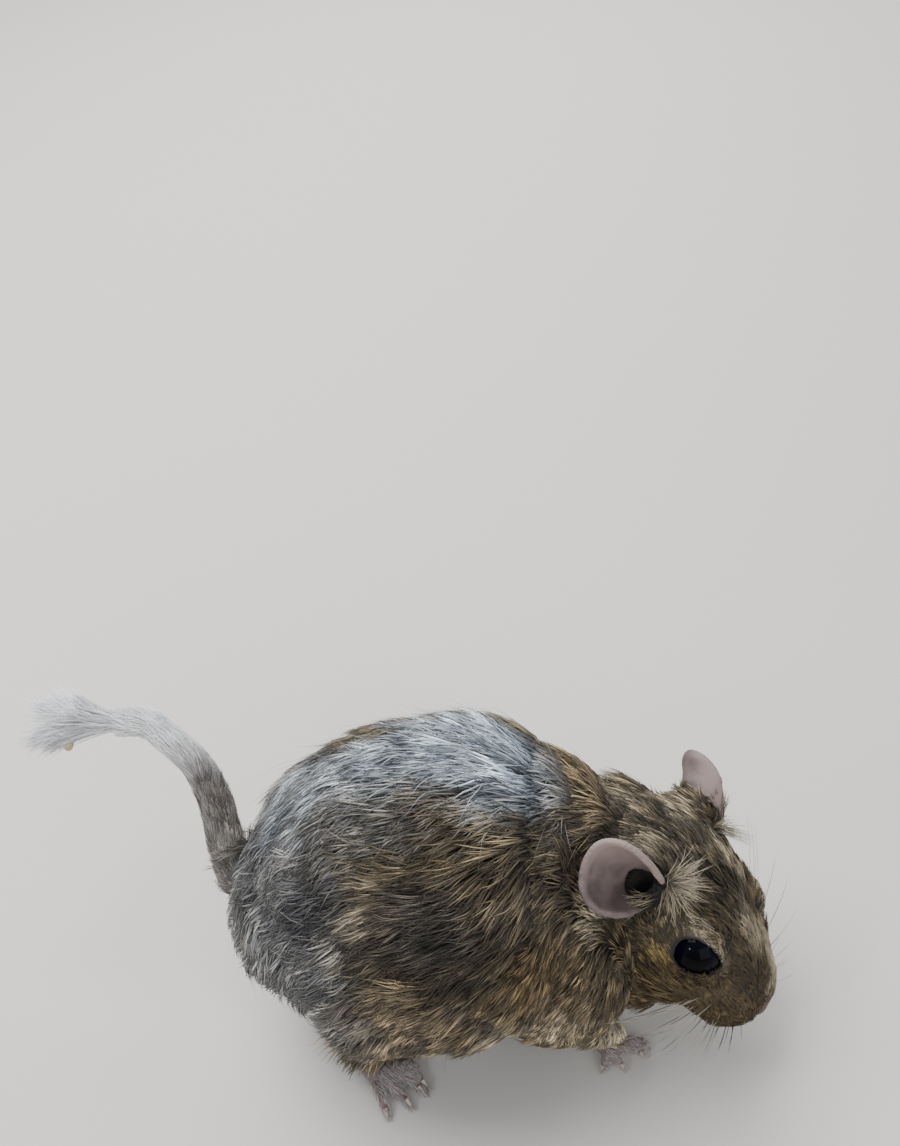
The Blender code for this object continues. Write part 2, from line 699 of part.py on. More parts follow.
def main():
    clear_scene()
    body = whole_body()
    nodes = []
    for side, name in NAMES.items():
        nodes.append(part_off(body, "hindleg_" + name, leg_region(HINDLEG_REACH, side)))
        nodes.append(part_off(body, "foreleg_" + name, leg_region(FORELEG_REACH, side)))
    on = head_frame()
    head = part_off(body, "head", beyond(on @ HEAD_PARTS_AT, on.to_3x3() @ HEAD_FACING))
    neck = part_off(body, "neck", beyond(NECK_PARTS_AT, NECK_FACING))
    body.name = "torso"
    nodes += [head, neck, body]
    flesh = {node.name: node for node in nodes}
    for side, name in NAMES.items():
        nodes.append(trim(ear(side), head, neck, body))
        nodes.append(trim(hind_foot(side), flesh["hindleg_" + name], body))
        nodes.append(trim(fore_foot(side), flesh["foreleg_" + name], body))
        nodes.append(eyeball("eye_" + name, side, EYE_RADIUS))
    carve_face(head)
    tail = {name: tail_length(name, *ends) for name, ends in TAIL_LENGTHS.items()}
    trim(tail["tail_base"], body)
    end = stump()
    tuft(tail["tail_tip"])
    trim(tail["tail_tip"], end)
    nodes += list(tail.values()) + [end]
    for node in nodes:
        finish(node)
    stand_up(nodes)


main()
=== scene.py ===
"""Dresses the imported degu: one continuous skin, a coat of solid tufts, eyes, claws, whiskers and tail tuft.

Places and sizes in the tables are in millimetres. Body places use the animal's own axes: +x forwards, +y to
its left, +z up. Head places use the head's: nose tip at the origin, +x out of the nose, +y left, +z up.
"""

import math

import bmesh
import bpy
import numpy as np
from bpy.props import FloatProperty, FloatVectorProperty, IntProperty, PointerProperty
from mathutils import Euler, Matrix, Vector, kdtree


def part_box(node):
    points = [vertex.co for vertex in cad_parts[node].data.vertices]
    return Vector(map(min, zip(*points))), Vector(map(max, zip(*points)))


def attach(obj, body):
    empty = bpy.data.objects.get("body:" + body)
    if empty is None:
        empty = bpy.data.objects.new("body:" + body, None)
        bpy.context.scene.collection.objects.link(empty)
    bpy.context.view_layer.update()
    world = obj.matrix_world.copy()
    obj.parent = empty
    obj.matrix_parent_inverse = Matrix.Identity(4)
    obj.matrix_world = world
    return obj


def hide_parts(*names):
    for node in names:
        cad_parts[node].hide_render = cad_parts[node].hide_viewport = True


bl_info = {
    "name": "Degu",
    "version": (1, 0, 0),
    "blender": (4, 5, 0),
    "location": "3D View > Sidebar > Degu",
    "description": "Builds the skin, coat and finishes of a life-size degu on its packed solids",
    "category": "Object",
}

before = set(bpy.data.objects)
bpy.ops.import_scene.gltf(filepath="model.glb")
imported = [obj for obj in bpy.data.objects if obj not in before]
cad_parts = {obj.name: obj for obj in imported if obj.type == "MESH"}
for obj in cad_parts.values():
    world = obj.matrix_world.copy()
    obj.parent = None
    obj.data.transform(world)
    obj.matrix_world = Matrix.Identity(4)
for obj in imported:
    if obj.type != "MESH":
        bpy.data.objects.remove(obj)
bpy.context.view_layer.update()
MM = 0.001
SIDES = {"right": -1, "left": 1}

# The head's own frame in the animal's, and where its eyes and the middles of its ears are in it.
NOSE_AT = Vector((43.0, -21.8, 14.2)) * MM
HEAD_TURN = Euler([math.radians(a) for a in (-12.6, 37.7, -53.6)])
EYE_AT = Vector((-18.2, 7.6, 4.0)) * MM
EYE_OUT = Vector((0.22, 0.92, 0.32)).normalized()
EYE_RADIUS = 4.9 * MM
LID_ALONG = Vector((0.92, 0, 0.31))
EAR_AT = {"right": Vector((-35.8, 15.6, 10.2)) * MM, "left": Vector((-33.4, 10.9, 6.2)) * MM}
EAR_ALONG = {"right": Vector((-0.62, 0.68, 0.38)), "left": Vector((-0.60, 0.68, 0.14))}

# An ear's canal: how far down the ear its middle is from the ear's own, how far in front, and its radius.
CANAL_DOWN = 4.2
CANAL_AHEAD = Vector((0.9, 0, 0.2))
CANAL_RADIUS = 4.6

# The opening between the lids: its reach from the ball's axis, every 30 degrees from the front corner by
# way of the lower lid. Then how the skin round it is drawn in: the number of directions that are looked at,
# the distances from the ball's centre where that starts to fade and has ended, the angle over which it is
# spread, and the skin's gap from the ball. Skin nearer to the ball than the rim, and not much past it, is a
# lid's.
LID_OPENING = [4.25, 2.6, 2.2, 2.35, 2.85, 3.5, 3.9, 3.95, 3.75, 3.5, 3.5, 3.8]
LID_SLOTS = 36
LID_SPAN = (7.6, 11.0)
LID_BAND = math.radians(50)
LID_GAP = 0.2
LID_RIM = 0.45
LID_PAST = 0.8

# What is pressed into the nose on each side, given for the left: place, half lengths and depth. Then the
# line of the mouth: its place below the nose's tip, slope, half width and depth. Then the groove below the
# nose and the crease round the lids. Then the place of the painted shade inside each nostril, and the place
# and half lengths of the bare pad.
PRESSED = [
    ((-0.2, 1.9, -0.7), (0.95, 0.75, 0.55), 0.75),
    ((-1.5, 2.7, -0.1), (1.0, 0.5, 0.35), 0.35),
]
MOUTH_BELOW, MOUTH_SLOPE, MOUTH_WIDE, MOUTH_DEEP = 6.9, 0.07, 0.42, 0.55
GROOVE_WIDE, GROOVE_DEEP = 0.4, 0.4
CREASE_AT, CREASE_WIDE, CREASE_DEEP = 1.6, 0.4, 0.22
NOSTRIL_SHADE_AT = (-0.6, 1.9, -0.7)
NOSE_PAD = ((-0.4, 0, -0.6), (2.3, 2.8, 2.3))

# The tail's path and radii, and the bare stump at its end: its direction, then distances along it and radii.
TAIL_PATH = [
    (-42, 5, 31), (-46, 10.5, 33), (-48.8, 17.4, 35.3), (-50.2, 26.2, 39.8), (-52.8, 32.3, 44),
    (-56.8, 36.8, 47), (-60.8, 39.8, 49.5), (-65.9, 41.1, 50.3), (-71.2, 41.5, 51), (-75.5, 41.5, 51.6),
]
TAIL_RADII = [4.2, 3.3, 2.7, 2.35, 2.2, 2.1, 2.0, 1.8, 1.5, 0.9]
STUMP_WAY = Vector((-0.25, -0.45, -0.85)).normalized()
STUMP = [(0.2, 1.0), (2.0, 1.15), (4.0, 1.3), (5.1, 1.15), (5.7, 0.5)]

# The tail's short hair grows between these places along the body. The tuft starts at this share of the
# tail's path. Its strands lean out half as far on the stump's side, where the cosine of the angle between
# strand and stump is above the last value.
TAIL_HAIR_SPAN = (-73, -44.5)
TUFT_START = 0.76
STUMP_SIDE = 0.55

# The hind and the fore feet: where heel or wrist stands and which way it points on each side, the toes as
# inward offset, angle inward and length, how far in front of heel or wrist their roots and the foot's middle
# are, and the claws' thickness.
FEET = [
    {"heel": {"right": (-34.2, -0.8), "left": (-35, 6.5)}, "turn": {"right": -55, "left": 27},
     "toes": [(3.9, 12, 3.4), (3.0, 4, 6.0), (1.1, 9, 6.5), (-1.3, 0, 6.6), (-3.2, -24, 5.5)],
     "front": 15, "middle": 12, "claw": 1.0},
    {"heel": {"right": (15.0, -13.5), "left": (14.5, 12.5)}, "turn": {"right": -50, "left": 12},
     "toes": [(1.7, 38, 4.8), (1.0, 30, 5.2), (0.2, 20, 5.2), (-0.9, -22, 3.8), (-1.7, -76, 3.2)],
     "front": 3.2, "middle": 4, "claw": 0.85},
]

# A claw's height and radius where it leaves its toe and at its point, and where along the toe it starts.
CLAW_HEIGHTS = (1.75, 0.22)
CLAW_RADII = (0.40, 0.07)
CLAW_START = 0.93

# The nodes that melt into the skin.
FLESH = [
    "head", "neck", "torso", "hindleg_right", "hindleg_left", "foreleg_right", "foreleg_left",
    "hindfoot_right", "hindfoot_left", "forefoot_right", "forefoot_left", "ear_right", "ear_left",
    "tail_base", "tail_middle",
]

# What each part of the body carries: how deep the skin lies under the coat's outside, the hair's length and
# width, how far it rises off the skin and how densely it grows, in mm and tufts for each square mm.
COAT = {
    "torso": (2.9, 12.0, 0.42, 0.42, 1.0),
    "neck": (2.2, 9.0, 0.40, 0.38, 1.2),
    "head": (1.0, 5.2, 0.29, 0.34, 2.3),
    "hindleg": (2.0, 9.0, 0.40, 0.36, 1.1),
    "foreleg": (1.3, 6.0, 0.34, 0.30, 1.5),
    "hindfoot": (0.15, 1.9, 0.20, 0.14, 3.0),
    "forefoot": (0.12, 1.5, 0.18, 0.14, 3.6),
    "ear": (0.0, 1.2, 0.12, 0.20, 0.0),
    "tail": (0.2, 3.0, 0.20, 0.16, 3.2),
}
MUZZLE_COAT = (0.30, 2.1, 0.17, 0.22, 4.6)
EYELID_COAT = (0.05, 1.4, 0.14, 0.16, 5.4)
HOCK_COAT = (0.5, 5.5, 0.36, 0.30, 2.2)

# Where the coat changes: heights of the hock, distances behind the nose's tip at the muzzle, and distances
# outside the lids' opening for the eyelids' coat, their dark rim and their bare edge.
HOCK_SPAN = (5, 9)
MUZZLE_SPAN = (-15, -4)
EYELID_SPAN = (3.6, 0.3)
LID_RIM_SPAN = (0.55, 0.25)
LID_BARE = 0.22

# The trunk's hair is wider than the first of these, the head's no wider than the second, and guard hairs
# stand where it is wider than the third. A foot or the tail starts where its mask is above the last.
TRUNK_WIDE, HEAD_WIDE, BACK_WIDE = 0.315, 0.325, 0.385
MASKED = 0.4

# The tail hair's own values, and how guard hairs differ from the coat where they stand.
TAIL_HAIR = {"long": 3.6, "wide": 0.2, "rise": 0.34}
GUARD_HAIR = {"long": 1.08, "wide": 0.34}

# The coat's pieces, round the trunk and across the head, each with about as many tufts as the others.
TRUNK_PIECES = (
    "coat_belly_right", "coat_flank_right", "coat_side_right", "coat_side_left", "coat_flank_left")
HEAD_PIECES = ("coat_head_right", "coat_head_left")

# How far ears and feet swell before the flesh melts, and the depth under the coat from which the skin's form
# is eased in full.
THIN_SWELL = 0.05 * MM
FURRY_DEPTH = 2.0

# A tuft: where its three rings stand along it and their widths, its thickness for its width, and how deep
# its root stands in the skin. It keeps a gap from the floor, and has a patch of this size on the map.
TUFT_RINGS = np.array([0.0, 0.36, 0.72])
TUFT_WIDTHS = (0.8, 1.0, 0.62)
TUFT_THICK = 0.32
TUFT_ROOT = 0.25
FLOOR_GAP = 0.15 * MM
MAP_PATCH = 0.003

# The lie of the coat: place and heading, for the right side of the body and the head. The left mirrors it.
BODY_LIE = [
    ((22, -6, 52), (-1, -0.15, 0.1)), ((8, -4, 60), (-1, -0.1, 0)), ((-10, -4, 67), (-1, 0, -0.05)),
    ((-32, -4, 58), (-0.9, 0, -0.45)), ((-49, 0, 40), (-0.45, 0, -0.9)), ((-50, -4, 28), (-0.2, 0.1, -1)),
    ((5, -22, 48), (-0.9, -0.15, -0.4)), ((-15, -24, 50), (-0.95, 0, -0.3)),
    ((-35, -20, 42), (-0.8, 0.1, -0.6)), ((0, -28, 34), (-0.8, 0, -0.55)),
    ((-2, -25, 20), (-0.75, 0.2, -0.6)), ((-20, -27, 32), (-0.75, 0, -0.65)),
    ((-30, -24, 22), (-0.6, 0.15, -0.8)),
    ((-20, -20, 14), (-0.5, 0.3, -0.8)), ((-10, -6, 12), (-1, 0, 0)), ((5, -6, 12), (-1, 0, 0)),
    ((14, -22, 34), (-0.5, -0.1, -0.85)), ((12, -20, 20), (-0.2, 0, -1)), ((15, -15, 8), (0.2, 0, -1)),
    ((24, -4, 22), (-0.6, 0, -0.8)), ((-28, -10, 9), (-0.3, 0, -1)),
]
HEAD_LIE = [
    ((-3, 0, 1.5), (-1, 0, 0.4)), ((-12, -3, 7), (-1, -0.1, 0.35)), ((-24, -3, 13), (-1, -0.15, 0.15)),
    ((-36, -2, 14), (-1, -0.2, -0.1)), ((-8, -6, -2), (-1, -0.35, 0.0)), ((-17, -10, -3), (-1, -0.3, -0.05)),
    ((-27, -13, -4), (-1, -0.2, -0.15)), ((-18, -9.5, 9.5), (-1, -0.15, 0.3)),
    ((-26, -11, 5), (-1, -0.25, 0.1)), ((-24, -14, -14), (-1, -0.1, -0.25)),
    ((-10, -5, -10), (-1, -0.2, -0.1)), ((-12, 0, -13), (-1, 0, -0.1)), ((-38, -15, 4), (-1, -0.1, -0.2)),
]

# Steps of this share of 1 give each lock a number of its own.
GOLDEN_SHARE = 0.618034

# Waves in the lie of the coat: size, seed and strength.
LIE_WAVES = [(14, 11, 0.22), (5, 12, 0.14)]

# The camera of the picture: place, axes, focal length in picture heights, and its sensor's height in mm.
CAMERA_AT = Vector((-28.925, -155.5, 236.36)) * MM
CAMERA_RIGHT = Vector((0.98322, -0.17691, -0.04442))
CAMERA_DOWN = Vector((-0.14569, -0.61514, -0.77484))
CAMERA_AHEAD = Vector((0.10976, 0.76832, -0.63059))
CAMERA_FOCAL = 1377 / 1146
SENSOR = 36

# Patches of the coat's colour, and three of painted sheen on the back: place, half lengths and how strongly
# it shows, over the base colour. The ones marked "pair" are mirrored to the other side.
BODY_PATCHES = [
    ("grey", (-38, -4, 46), (21, 30, 30), 0.85, ""),
    ("crown", (-8, -22, 51), (21, 8, 10), 0.75, "pair"),
    ("buff", (-15, -26, 38), (17, 9, 8), 0.75, "pair"),
    ("buff", (-10, -26, 20), (26, 10, 9), 0.80, "pair"),
    ("cream", (-3, -27, 27), (13, 6, 6), 0.40, "pair"),
    ("cream", (5, -24, 23), (7, 6, 7), 0.45, "pair"),
    ("brown", (5, -23, 40), (10, 7, 9), 0.80, "pair"),
    ("cream", (-2, 0, 6), (36, 20, 8), 0.85, ""),
    ("buff", (-4, -24, 16), (24, 8, 8), 0.80, "pair"),
    ("cream", (2, -22, 9), (20, 7, 4.5), 0.50, "pair"),
    # The next three patches are painted sheen: a pale bluish grey that stands in for the light's sheen on the
    # fur of the back.
    ("painted_sheen", (4, 3, 64), (15, 10, 12), 0.95, ""),
    ("painted_sheen", (-13, 4, 69), (15, 9, 8), 0.64, ""),
    ("painted_sheen", (-29, 8, 63), (11, 10, 9), 0.50, ""),
    ("crown", (-8, -14, 65), (20, 6.0, 7.0), 0.80, ""),
    ("grey", (-20, -8, 66), (13, 6.5, 6), 0.55, ""),
    ("dark", (-7, -21, 55.5), (16, 8, 6.5), 0.55, "pair"),
    ("dark", (-25.5, -13.5, 60), (5, 4.5, 4), 0.95, ""),
    ("dark", (-28.5, -13.2, 56.5), (5, 4.5, 5), 0.97, ""),
    ("dark", (-31.5, -13.6, 51.5), (4.2, 4.2, 4.2), 0.92, ""),
    ("dark", (-35, -14.2, 46), (3.6, 4, 3.6), 0.85, ""),
    ("dark", (-15, -25.5, 36), (4.5, 5, 7), 0.45, "pair"),
    ("dark", (13, -8, 53), (5, 5, 5), 0.70, ""),
    ("cream", (16, -16, 10), (7, 7, 9), 0.75, "pair"),
    ("cream", (26, 0, 18), (14, 14, 10), 0.80, ""),
    ("buff", (20, 4, 51), (9, 9, 9), 0.75, ""),
    ("cream", (26, 3, 48), (6, 6, 4), 0.50, ""),
]
HEAD_PATCHES = [
    ("brown", (-14, 0, -4), (24, 20, 15), 0.90, ""),
    ("crown", (-27, 0, 12), (15, 10, 8), 0.90, ""),
    ("crown", (-9, -3, 5), (8, 4.5, 5), 0.55, ""),
    ("cream", (-37, -6, 9), (5, 4, 3.5), 0.35, "pair"),
    ("cream", (-33, -19.5, 1.5), (4.5, 3.4, 3.2), 0.80, "pair"),
    ("buff", (-26, -13, -8), (12, 7, 6), 0.60, "pair"),
    ("cream", (-27, -16, -15), (12, 7, 5), 0.70, "pair"),
    ("yellow", (-19.8, -10.9, -0.2), (4.0, 2.6, 2.8), 0.80, "pair"),
    ("cream", (-19, -9.5, 9.0), (5.5, 3.0, 2.2), 0.75, "pair"),
    ("cream", (-13.5, -7.5, 6.4), (2.6, 2.6, 2.6), 0.55, "pair"),
    ("cream", (-6, 3.6, 3.8), (8.5, 2.8, 7.5), 0.88, ""),
    ("cream", (-5, 5, -2), (6, 3, 6), 0.80, ""),
    ("cream", (-2.6, 0.8, 3), (2.6, 3, 3.4), 0.60, ""),
    ("cream", (-13.5, 0.4, 9), (6, 2.6, 3), 0.50, ""),
    ("cream", (-22, 4.2, 11.8), (7, 2.0, 2.5), 0.60, ""),
    ("cream", (-14, 0, -15), (15, 9, 5), 0.70, ""),
    ("dark", (-29, -6, 13.5), (5, 3.5, 3), 0.45, "pair"),
    ("nose", (-0.7, 0, -0.5), (2.7, 3.1, 2.6), 0.95, ""),
]
# A patch is full inside the second share of its half lengths and ends at the first.
PATCH_FADE = (1.25, 0.45)

# Colours of all that isn't coat, each from its darker to its lighter shade.
SHADES = {
    "ear": ((0.115, 0.086, 0.085), (0.195, 0.148, 0.145)),
    "foot": ((0.20, 0.135, 0.130), (0.33, 0.26, 0.26)),
    "tail": ((0.26, 0.22, 0.20), (0.42, 0.38, 0.35)),
    "lid": ((0.006, 0.005, 0.005), (0.018, 0.013, 0.013)),
    "bone": ((0.50, 0.36, 0.20), (0.66, 0.55, 0.38)),
    "claw": ((0.27, 0.21, 0.18), (0.46, 0.39, 0.34)),
    "whisker": ((0.02, 0.017, 0.015), (0.45, 0.40, 0.32)),
    "foot hair": ((0.16, 0.135, 0.13), (0.50, 0.46, 0.46)),
    "tail hair": ((0.09, 0.08, 0.072), (0.23, 0.215, 0.20)),
    "ear hair": ((0.055, 0.046, 0.034), (0.38, 0.33, 0.24)),
}
EAR_TIP = (0.310, 0.235, 0.210)
EAR_ROOT = (0.070, 0.048, 0.045)
# Painted shade: the ear's canal is coloured near black to stand in for the shade inside its opening.
CANAL_SHADE = (0.002, 0.0015, 0.0015)
# Painted shade: the nostrils' insides are coloured dark to stand in for the shade in these hollows.
NOSTRIL_SHADE = (0.012, 0.007, 0.006)
PALE_BAND = (2.5, 2.40, 2.15)
BLACK_TIP = (0.012, 0.011, 0.010)
SLATE_ROOT = (0.020, 0.019, 0.021)
TUFT_SHADE = (0.88, 0.89, 0.92)
PUPIL, IRIS_RAYS, IRIS_RIM = (0.0015, 0.0015, 0.002), (0.0035, 0.0035, 0.0080), (0.006, 0.005, 0.006)

# Whiskers on each side, in rows from top to bottom and columns from front to back. The pad's front corner,
# and a step of one column and of one row from there. The hairs over the eye start at BROW and step back.
WHISKER_ROWS, WHISKER_COLUMNS = 5, 6
PAD = [(-3.2, -1.15, -0.2), (3.3, 0.42, 0.25), (-1.6, 0.15, -1.05)]
WHISKER_THICK, BROW_THICK = 0.078, 0.035
BROW, BROW_STEP, BROW_LONG = (-17, 6.6, 9.4), 1.2, 12

# The lights: name, direction, distance and size in metres, and power as a share of the key light's.
LIGHTS = [
    ("key", (-0.35, 0.25, 1.0), 0.75, 0.55, 1.0),
    ("window", (0.2, 1.0, 0.75), 0.85, 0.6, 0.75),
    ("fill", (0.3, -1.0, 0.5), 0.9, 0.7, 0.36),
    ("spark", (-0.68, -0.42, 0.6), 0.8, 0.07, 0.13),
]
SKY = (0.93, 0.95, 1.0)

# What the skin's operator keeps for the ones that grow hair on it.
SKIN = {}


class DeguSkin(bpy.types.PropertyGroup):
    """Sizes of the skin."""
    voxel: FloatProperty(name="Fineness", description="Size of the cells that melt the flesh into one skin",
                         default=0.45 * MM, min=0.3 * MM, max=2 * MM, unit="LENGTH", precision=5)
    swell: FloatProperty(name="Swell", description="How far each part swells to meet its neighbours",
                         default=0.24 * MM, min=0, max=1 * MM, unit="LENGTH", precision=5)
    depth: FloatProperty(name="Depth under the coat", description="Share of the full depth of the skin",
                         default=1.0, min=0, max=1.5, subtype="FACTOR")
    wrinkle: FloatProperty(name="Wrinkles", description="Height of the fine grain of bare skin",
                           default=0.04 * MM, min=0, max=1 * MM, unit="LENGTH", precision=5)


class DeguCoat(bpy.types.PropertyGroup):
    """Amounts and colours of the coat, and the painted sheen of its back."""
    trunk_tufts: IntProperty(name="Tufts on the trunk", description="Tufts on the trunk, neck and legs",
                             default=59000, min=100, max=66000)
    head_tufts: IntProperty(name="Tufts on the head", description="Tufts on the head",
                            default=25500, min=100, max=26000)
    foot_tufts: IntProperty(name="Tufts on feet and tail", description="Short tufts on the feet and tail",
                            default=9500, min=100, max=13000)
    guard_hairs: IntProperty(name="Guard hairs", description="Long single hairs that stand over the coat",
                             default=2600, min=10, max=13000)
    pull: FloatProperty(name="Locks", description="How far the tufts' tips draw together into locks",
                        default=0.60, min=0, max=1, subtype="FACTOR")
    base: FloatVectorProperty(name="Base", description="Main colour of the coat",
                              default=(0.071, 0.060, 0.043), size=3, min=0, max=1, subtype="COLOR")
    buff: FloatVectorProperty(name="Buff", description="Warm colour of flanks and cheeks",
                              default=(0.185, 0.144, 0.091), size=3, min=0, max=1, subtype="COLOR")
    brown: FloatVectorProperty(name="Brown", description="Warm brown of the face and the elbows",
                               default=(0.112, 0.079, 0.039), size=3, min=0, max=1, subtype="COLOR")
    cream: FloatVectorProperty(name="Cream", description="Pale colour of belly, arms and eye patches",
                               default=(0.40, 0.345, 0.255), size=3, min=0, max=1, subtype="COLOR")
    # Painted sheen: this bluish grey stands in for the light's sheen on the fur of the back.
    painted_sheen: FloatVectorProperty(name="Painted sheen", description="Bluish grey of the back",
                                default=(0.33, 0.38, 0.445), size=3, min=0, max=1, subtype="COLOR")
    yellow: FloatVectorProperty(name="Yellow", description="Crescent behind and below each eye",
                                default=(0.31, 0.235, 0.09), size=3, min=0, max=1, subtype="COLOR")
    grey: FloatVectorProperty(name="Grey",
                              description="Dull grey of the rump and of the streak on the snout",
                              default=(0.134, 0.140, 0.150), size=3, min=0, max=1, subtype="COLOR")
    dark: FloatVectorProperty(name="Dark", description="Blackish patches of the coat",
                              default=(0.020, 0.021, 0.027), size=3, min=0, max=1, subtype="COLOR")
    crown: FloatVectorProperty(name="Crown", description="Dark olive brown of the crown",
                               default=(0.040, 0.033, 0.022), size=3, min=0, max=1, subtype="COLOR")
    nose: FloatVectorProperty(name="Nose", description="Bare skin of the nose",
                              default=(0.20, 0.125, 0.105), size=3, min=0, max=1, subtype="COLOR")


class DeguFace(bpy.types.PropertyGroup):
    """Eyes, whiskers and hairs of the ears."""
    eye: FloatVectorProperty(name="Eye", description="Colour of the eye's iris",
                             default=(0.0016, 0.0020, 0.0060), size=3, min=0, max=1, subtype="COLOR")
    whisker: FloatProperty(name="Whiskers", description="Length of the longest whiskers",
                           default=23 * MM, min=1 * MM, max=60 * MM, unit="LENGTH", precision=4)
    ear_hair: FloatProperty(name="Ear hairs", description="Length of the hairs in front of the ear",
                            default=6.5 * MM, min=1 * MM, max=20 * MM, unit="LENGTH", precision=4)
    claw: FloatProperty(name="Claws", description="Length of a claw as a share of its toe",
                        default=0.32, min=0.1, max=1, subtype="FACTOR")


class DeguTail(bpy.types.PropertyGroup):
    """The tail's tuft."""
    strands: IntProperty(name="Strands", description="Strands of the white tuft",
                         default=2700, min=50, max=13000)
    long: FloatProperty(name="Length", description="Length of the tuft's longest strands",
                        default=14.0 * MM, min=2 * MM, max=40 * MM, unit="LENGTH", precision=4)
    white: FloatVectorProperty(name="White", description="Colour of the tuft",
                               default=(0.94, 0.95, 0.97), size=3, min=0, max=1, subtype="COLOR")


class DeguStage(bpy.types.PropertyGroup):
    """Floor, lights and camera."""
    floor: FloatVectorProperty(name="Floor", description="Colour of the floor",
                               default=(0.62, 0.60, 0.57), size=3, min=0, max=1, subtype="COLOR")
    key: FloatProperty(name="Key light", description="Power of the main soft light", default=7.0, min=0,
                       unit="POWER")
    air: FloatProperty(name="Sky", description="Strength of the even light all round", default=0.55, min=0)


def mirrored(vector, side):
    """The vector on the animal's left for side 1 and on its right for side -1."""
    return Vector((vector.x, vector.y * side, vector.z))


def heading_of(angle):
    """The level direction at an angle to the animal's own +x."""
    return Vector((math.cos(angle), math.sin(angle), 0))


def head_matrix(shift):
    """From the head's own frame to the world's, where the animal's origin stands at shift."""
    return Matrix.Translation(shift + NOSE_AT) @ HEAD_TURN.to_matrix().to_4x4()


def find_shift():
    """Where the animal's own origin stands in the world, found from the right eye's place."""
    low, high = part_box("eye_right")
    return (low + high) / 2 - head_matrix(Vector()) @ mirrored(EYE_AT, -1)


SHIFT = find_shift()
FROM_HEAD = head_matrix(SHIFT)
HEAD_AXES = np.array(FROM_HEAD.to_3x3())
HEAD_ORIGIN = np.array(FROM_HEAD.translation)
BODY_ORIGIN = np.array(SHIFT)


def head_places(points):
    """World points in the head's frame, in mm."""
    return (points - HEAD_ORIGIN) @ HEAD_AXES / MM


def body_places(points):
    """World points in the animal's frame, in mm."""
    return (points - BODY_ORIGIN) / MM


def unit(rows):
    """Vectors made one unit long."""
    return rows / np.maximum(np.linalg.norm(rows, axis=-1, keepdims=True), 1e-12)


def ramp(values, low, high):
    """Rises smoothly from 0 at low to 1 at high, or falls where low is the higher."""
    t = np.clip((values - low) / (high - low), 0, 1)
    return t * t * (3 - 2 * t)


def around(count):
    """Angles evenly round a turn."""
    return [2 * math.pi * k / count for k in range(count)]


def shares(count):
    """Equal steps from 0 to 1."""
    return [k / count for k in range(count + 1)]


def new_object(name, mesh):
    """An object of the mesh, in the scene."""
    made = bpy.data.objects.new(name, mesh)
    bpy.context.scene.collection.objects.link(made)
    return made


def mesh_from(bm, name, outwards=False):
    """The mesh of bm, which is freed, with its faces turned outwards where that is asked for."""
    if outwards:
        bmesh.ops.recalc_face_normals(bm, faces=bm.faces)
    mesh = bpy.data.meshes.new(name)
    bm.to_mesh(mesh)
    bm.free()
    return mesh


def fitted(thing):
    """Puts a piece on the one still body."""
    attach(thing, "root")
    return thing


def smooth_between(rows, steps):
    """Rows of numbers joined by a smooth curve through them, with steps points for each row."""
    rows = [np.array(row, float) for row in rows]
    last = len(rows) - 1
    found = []
    for i in range(last):
        a, b, c, d = (rows[min(max(i + k, 0), last)] for k in (-1, 0, 1, 2))
        for step in range(steps):
            t = step / steps
            found.append(0.5 * (2 * b + (c - a) * t + (2 * a - 5 * b + 4 * c - d) * t * t
                                + (3 * b - a - 3 * c + d) * t ** 3))
    found.append(rows[last])
    return np.array(found)


def tail_line():
    """The tail's path in the world, with its radii."""
    fine = smooth_between([(*point, radius) for point, radius in zip(TAIL_PATH, TAIL_RADII)], 8)
    return fine[:, :3] * MM + BODY_ORIGIN, fine[:, 3] * MM


def tube_into(bm, points, radii, sides):
    """Adds a closed tapered tube along points to the mesh."""
    rows = []
    for i, (point, radius) in enumerate(zip(points, radii)):
        along = Vector(points[min(i + 1, len(points) - 1)]) - Vector(points[max(i - 1, 0)])
        across = along.cross(Vector((0.05, 0, 1))).normalized()
        over = across.cross(along).normalized()
        rows.append([bm.verts.new(Vector(point) + (across * math.cos(a) + over * math.sin(a)) * radius)
                     for a in around(sides)])
    for low, high in zip(rows, rows[1:]):
        for i in range(sides):
            j = (i + 1) % sides
            bm.faces.new((low[i], low[j], high[j], high[i]))
    for row in (rows[0], rows[-1]):
        middle = bm.verts.new(sum((v.co for v in row), Vector()) / sides)
        for i in range(sides):
            bm.faces.new((row[i], row[(i + 1) % sides], middle))


def swollen(name, swell, levels=0):
    """A node's closed mesh, swollen along its normals to meet its neighbours."""
    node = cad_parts[name]
    bm = bmesh.new()
    bm.from_mesh(node.data)
    bm.transform(node.matrix_world)
    bmesh.ops.remove_doubles(bm, verts=bm.verts, dist=1e-6)
    bmesh.ops.recalc_face_normals(bm, faces=bm.faces)
    if levels:
        bmesh.ops.subdivide_edges(bm, edges=bm.edges, cuts=levels, use_grid_fill=True, smooth=0.6)
    bm.normal_update()
    moved = [(v, v.co + v.normal * swell) for v in bm.verts]
    for v, place in moved:
        v.co = place
    return bm


def mesh_arrays(mesh):
    """Vertex places, vertex normals and edges of a mesh."""
    count = len(mesh.vertices)
    places, normals = np.empty(count * 3), np.empty(count * 3)
    mesh.vertices.foreach_get("co", places)
    mesh.vertex_normals.foreach_get("vector", normals)
    edges = np.empty(len(mesh.edges) * 2, int)
    mesh.edges.foreach_get("vertices", edges)
    return places.reshape(-1, 3), normals.reshape(-1, 3), edges.reshape(-1, 2)


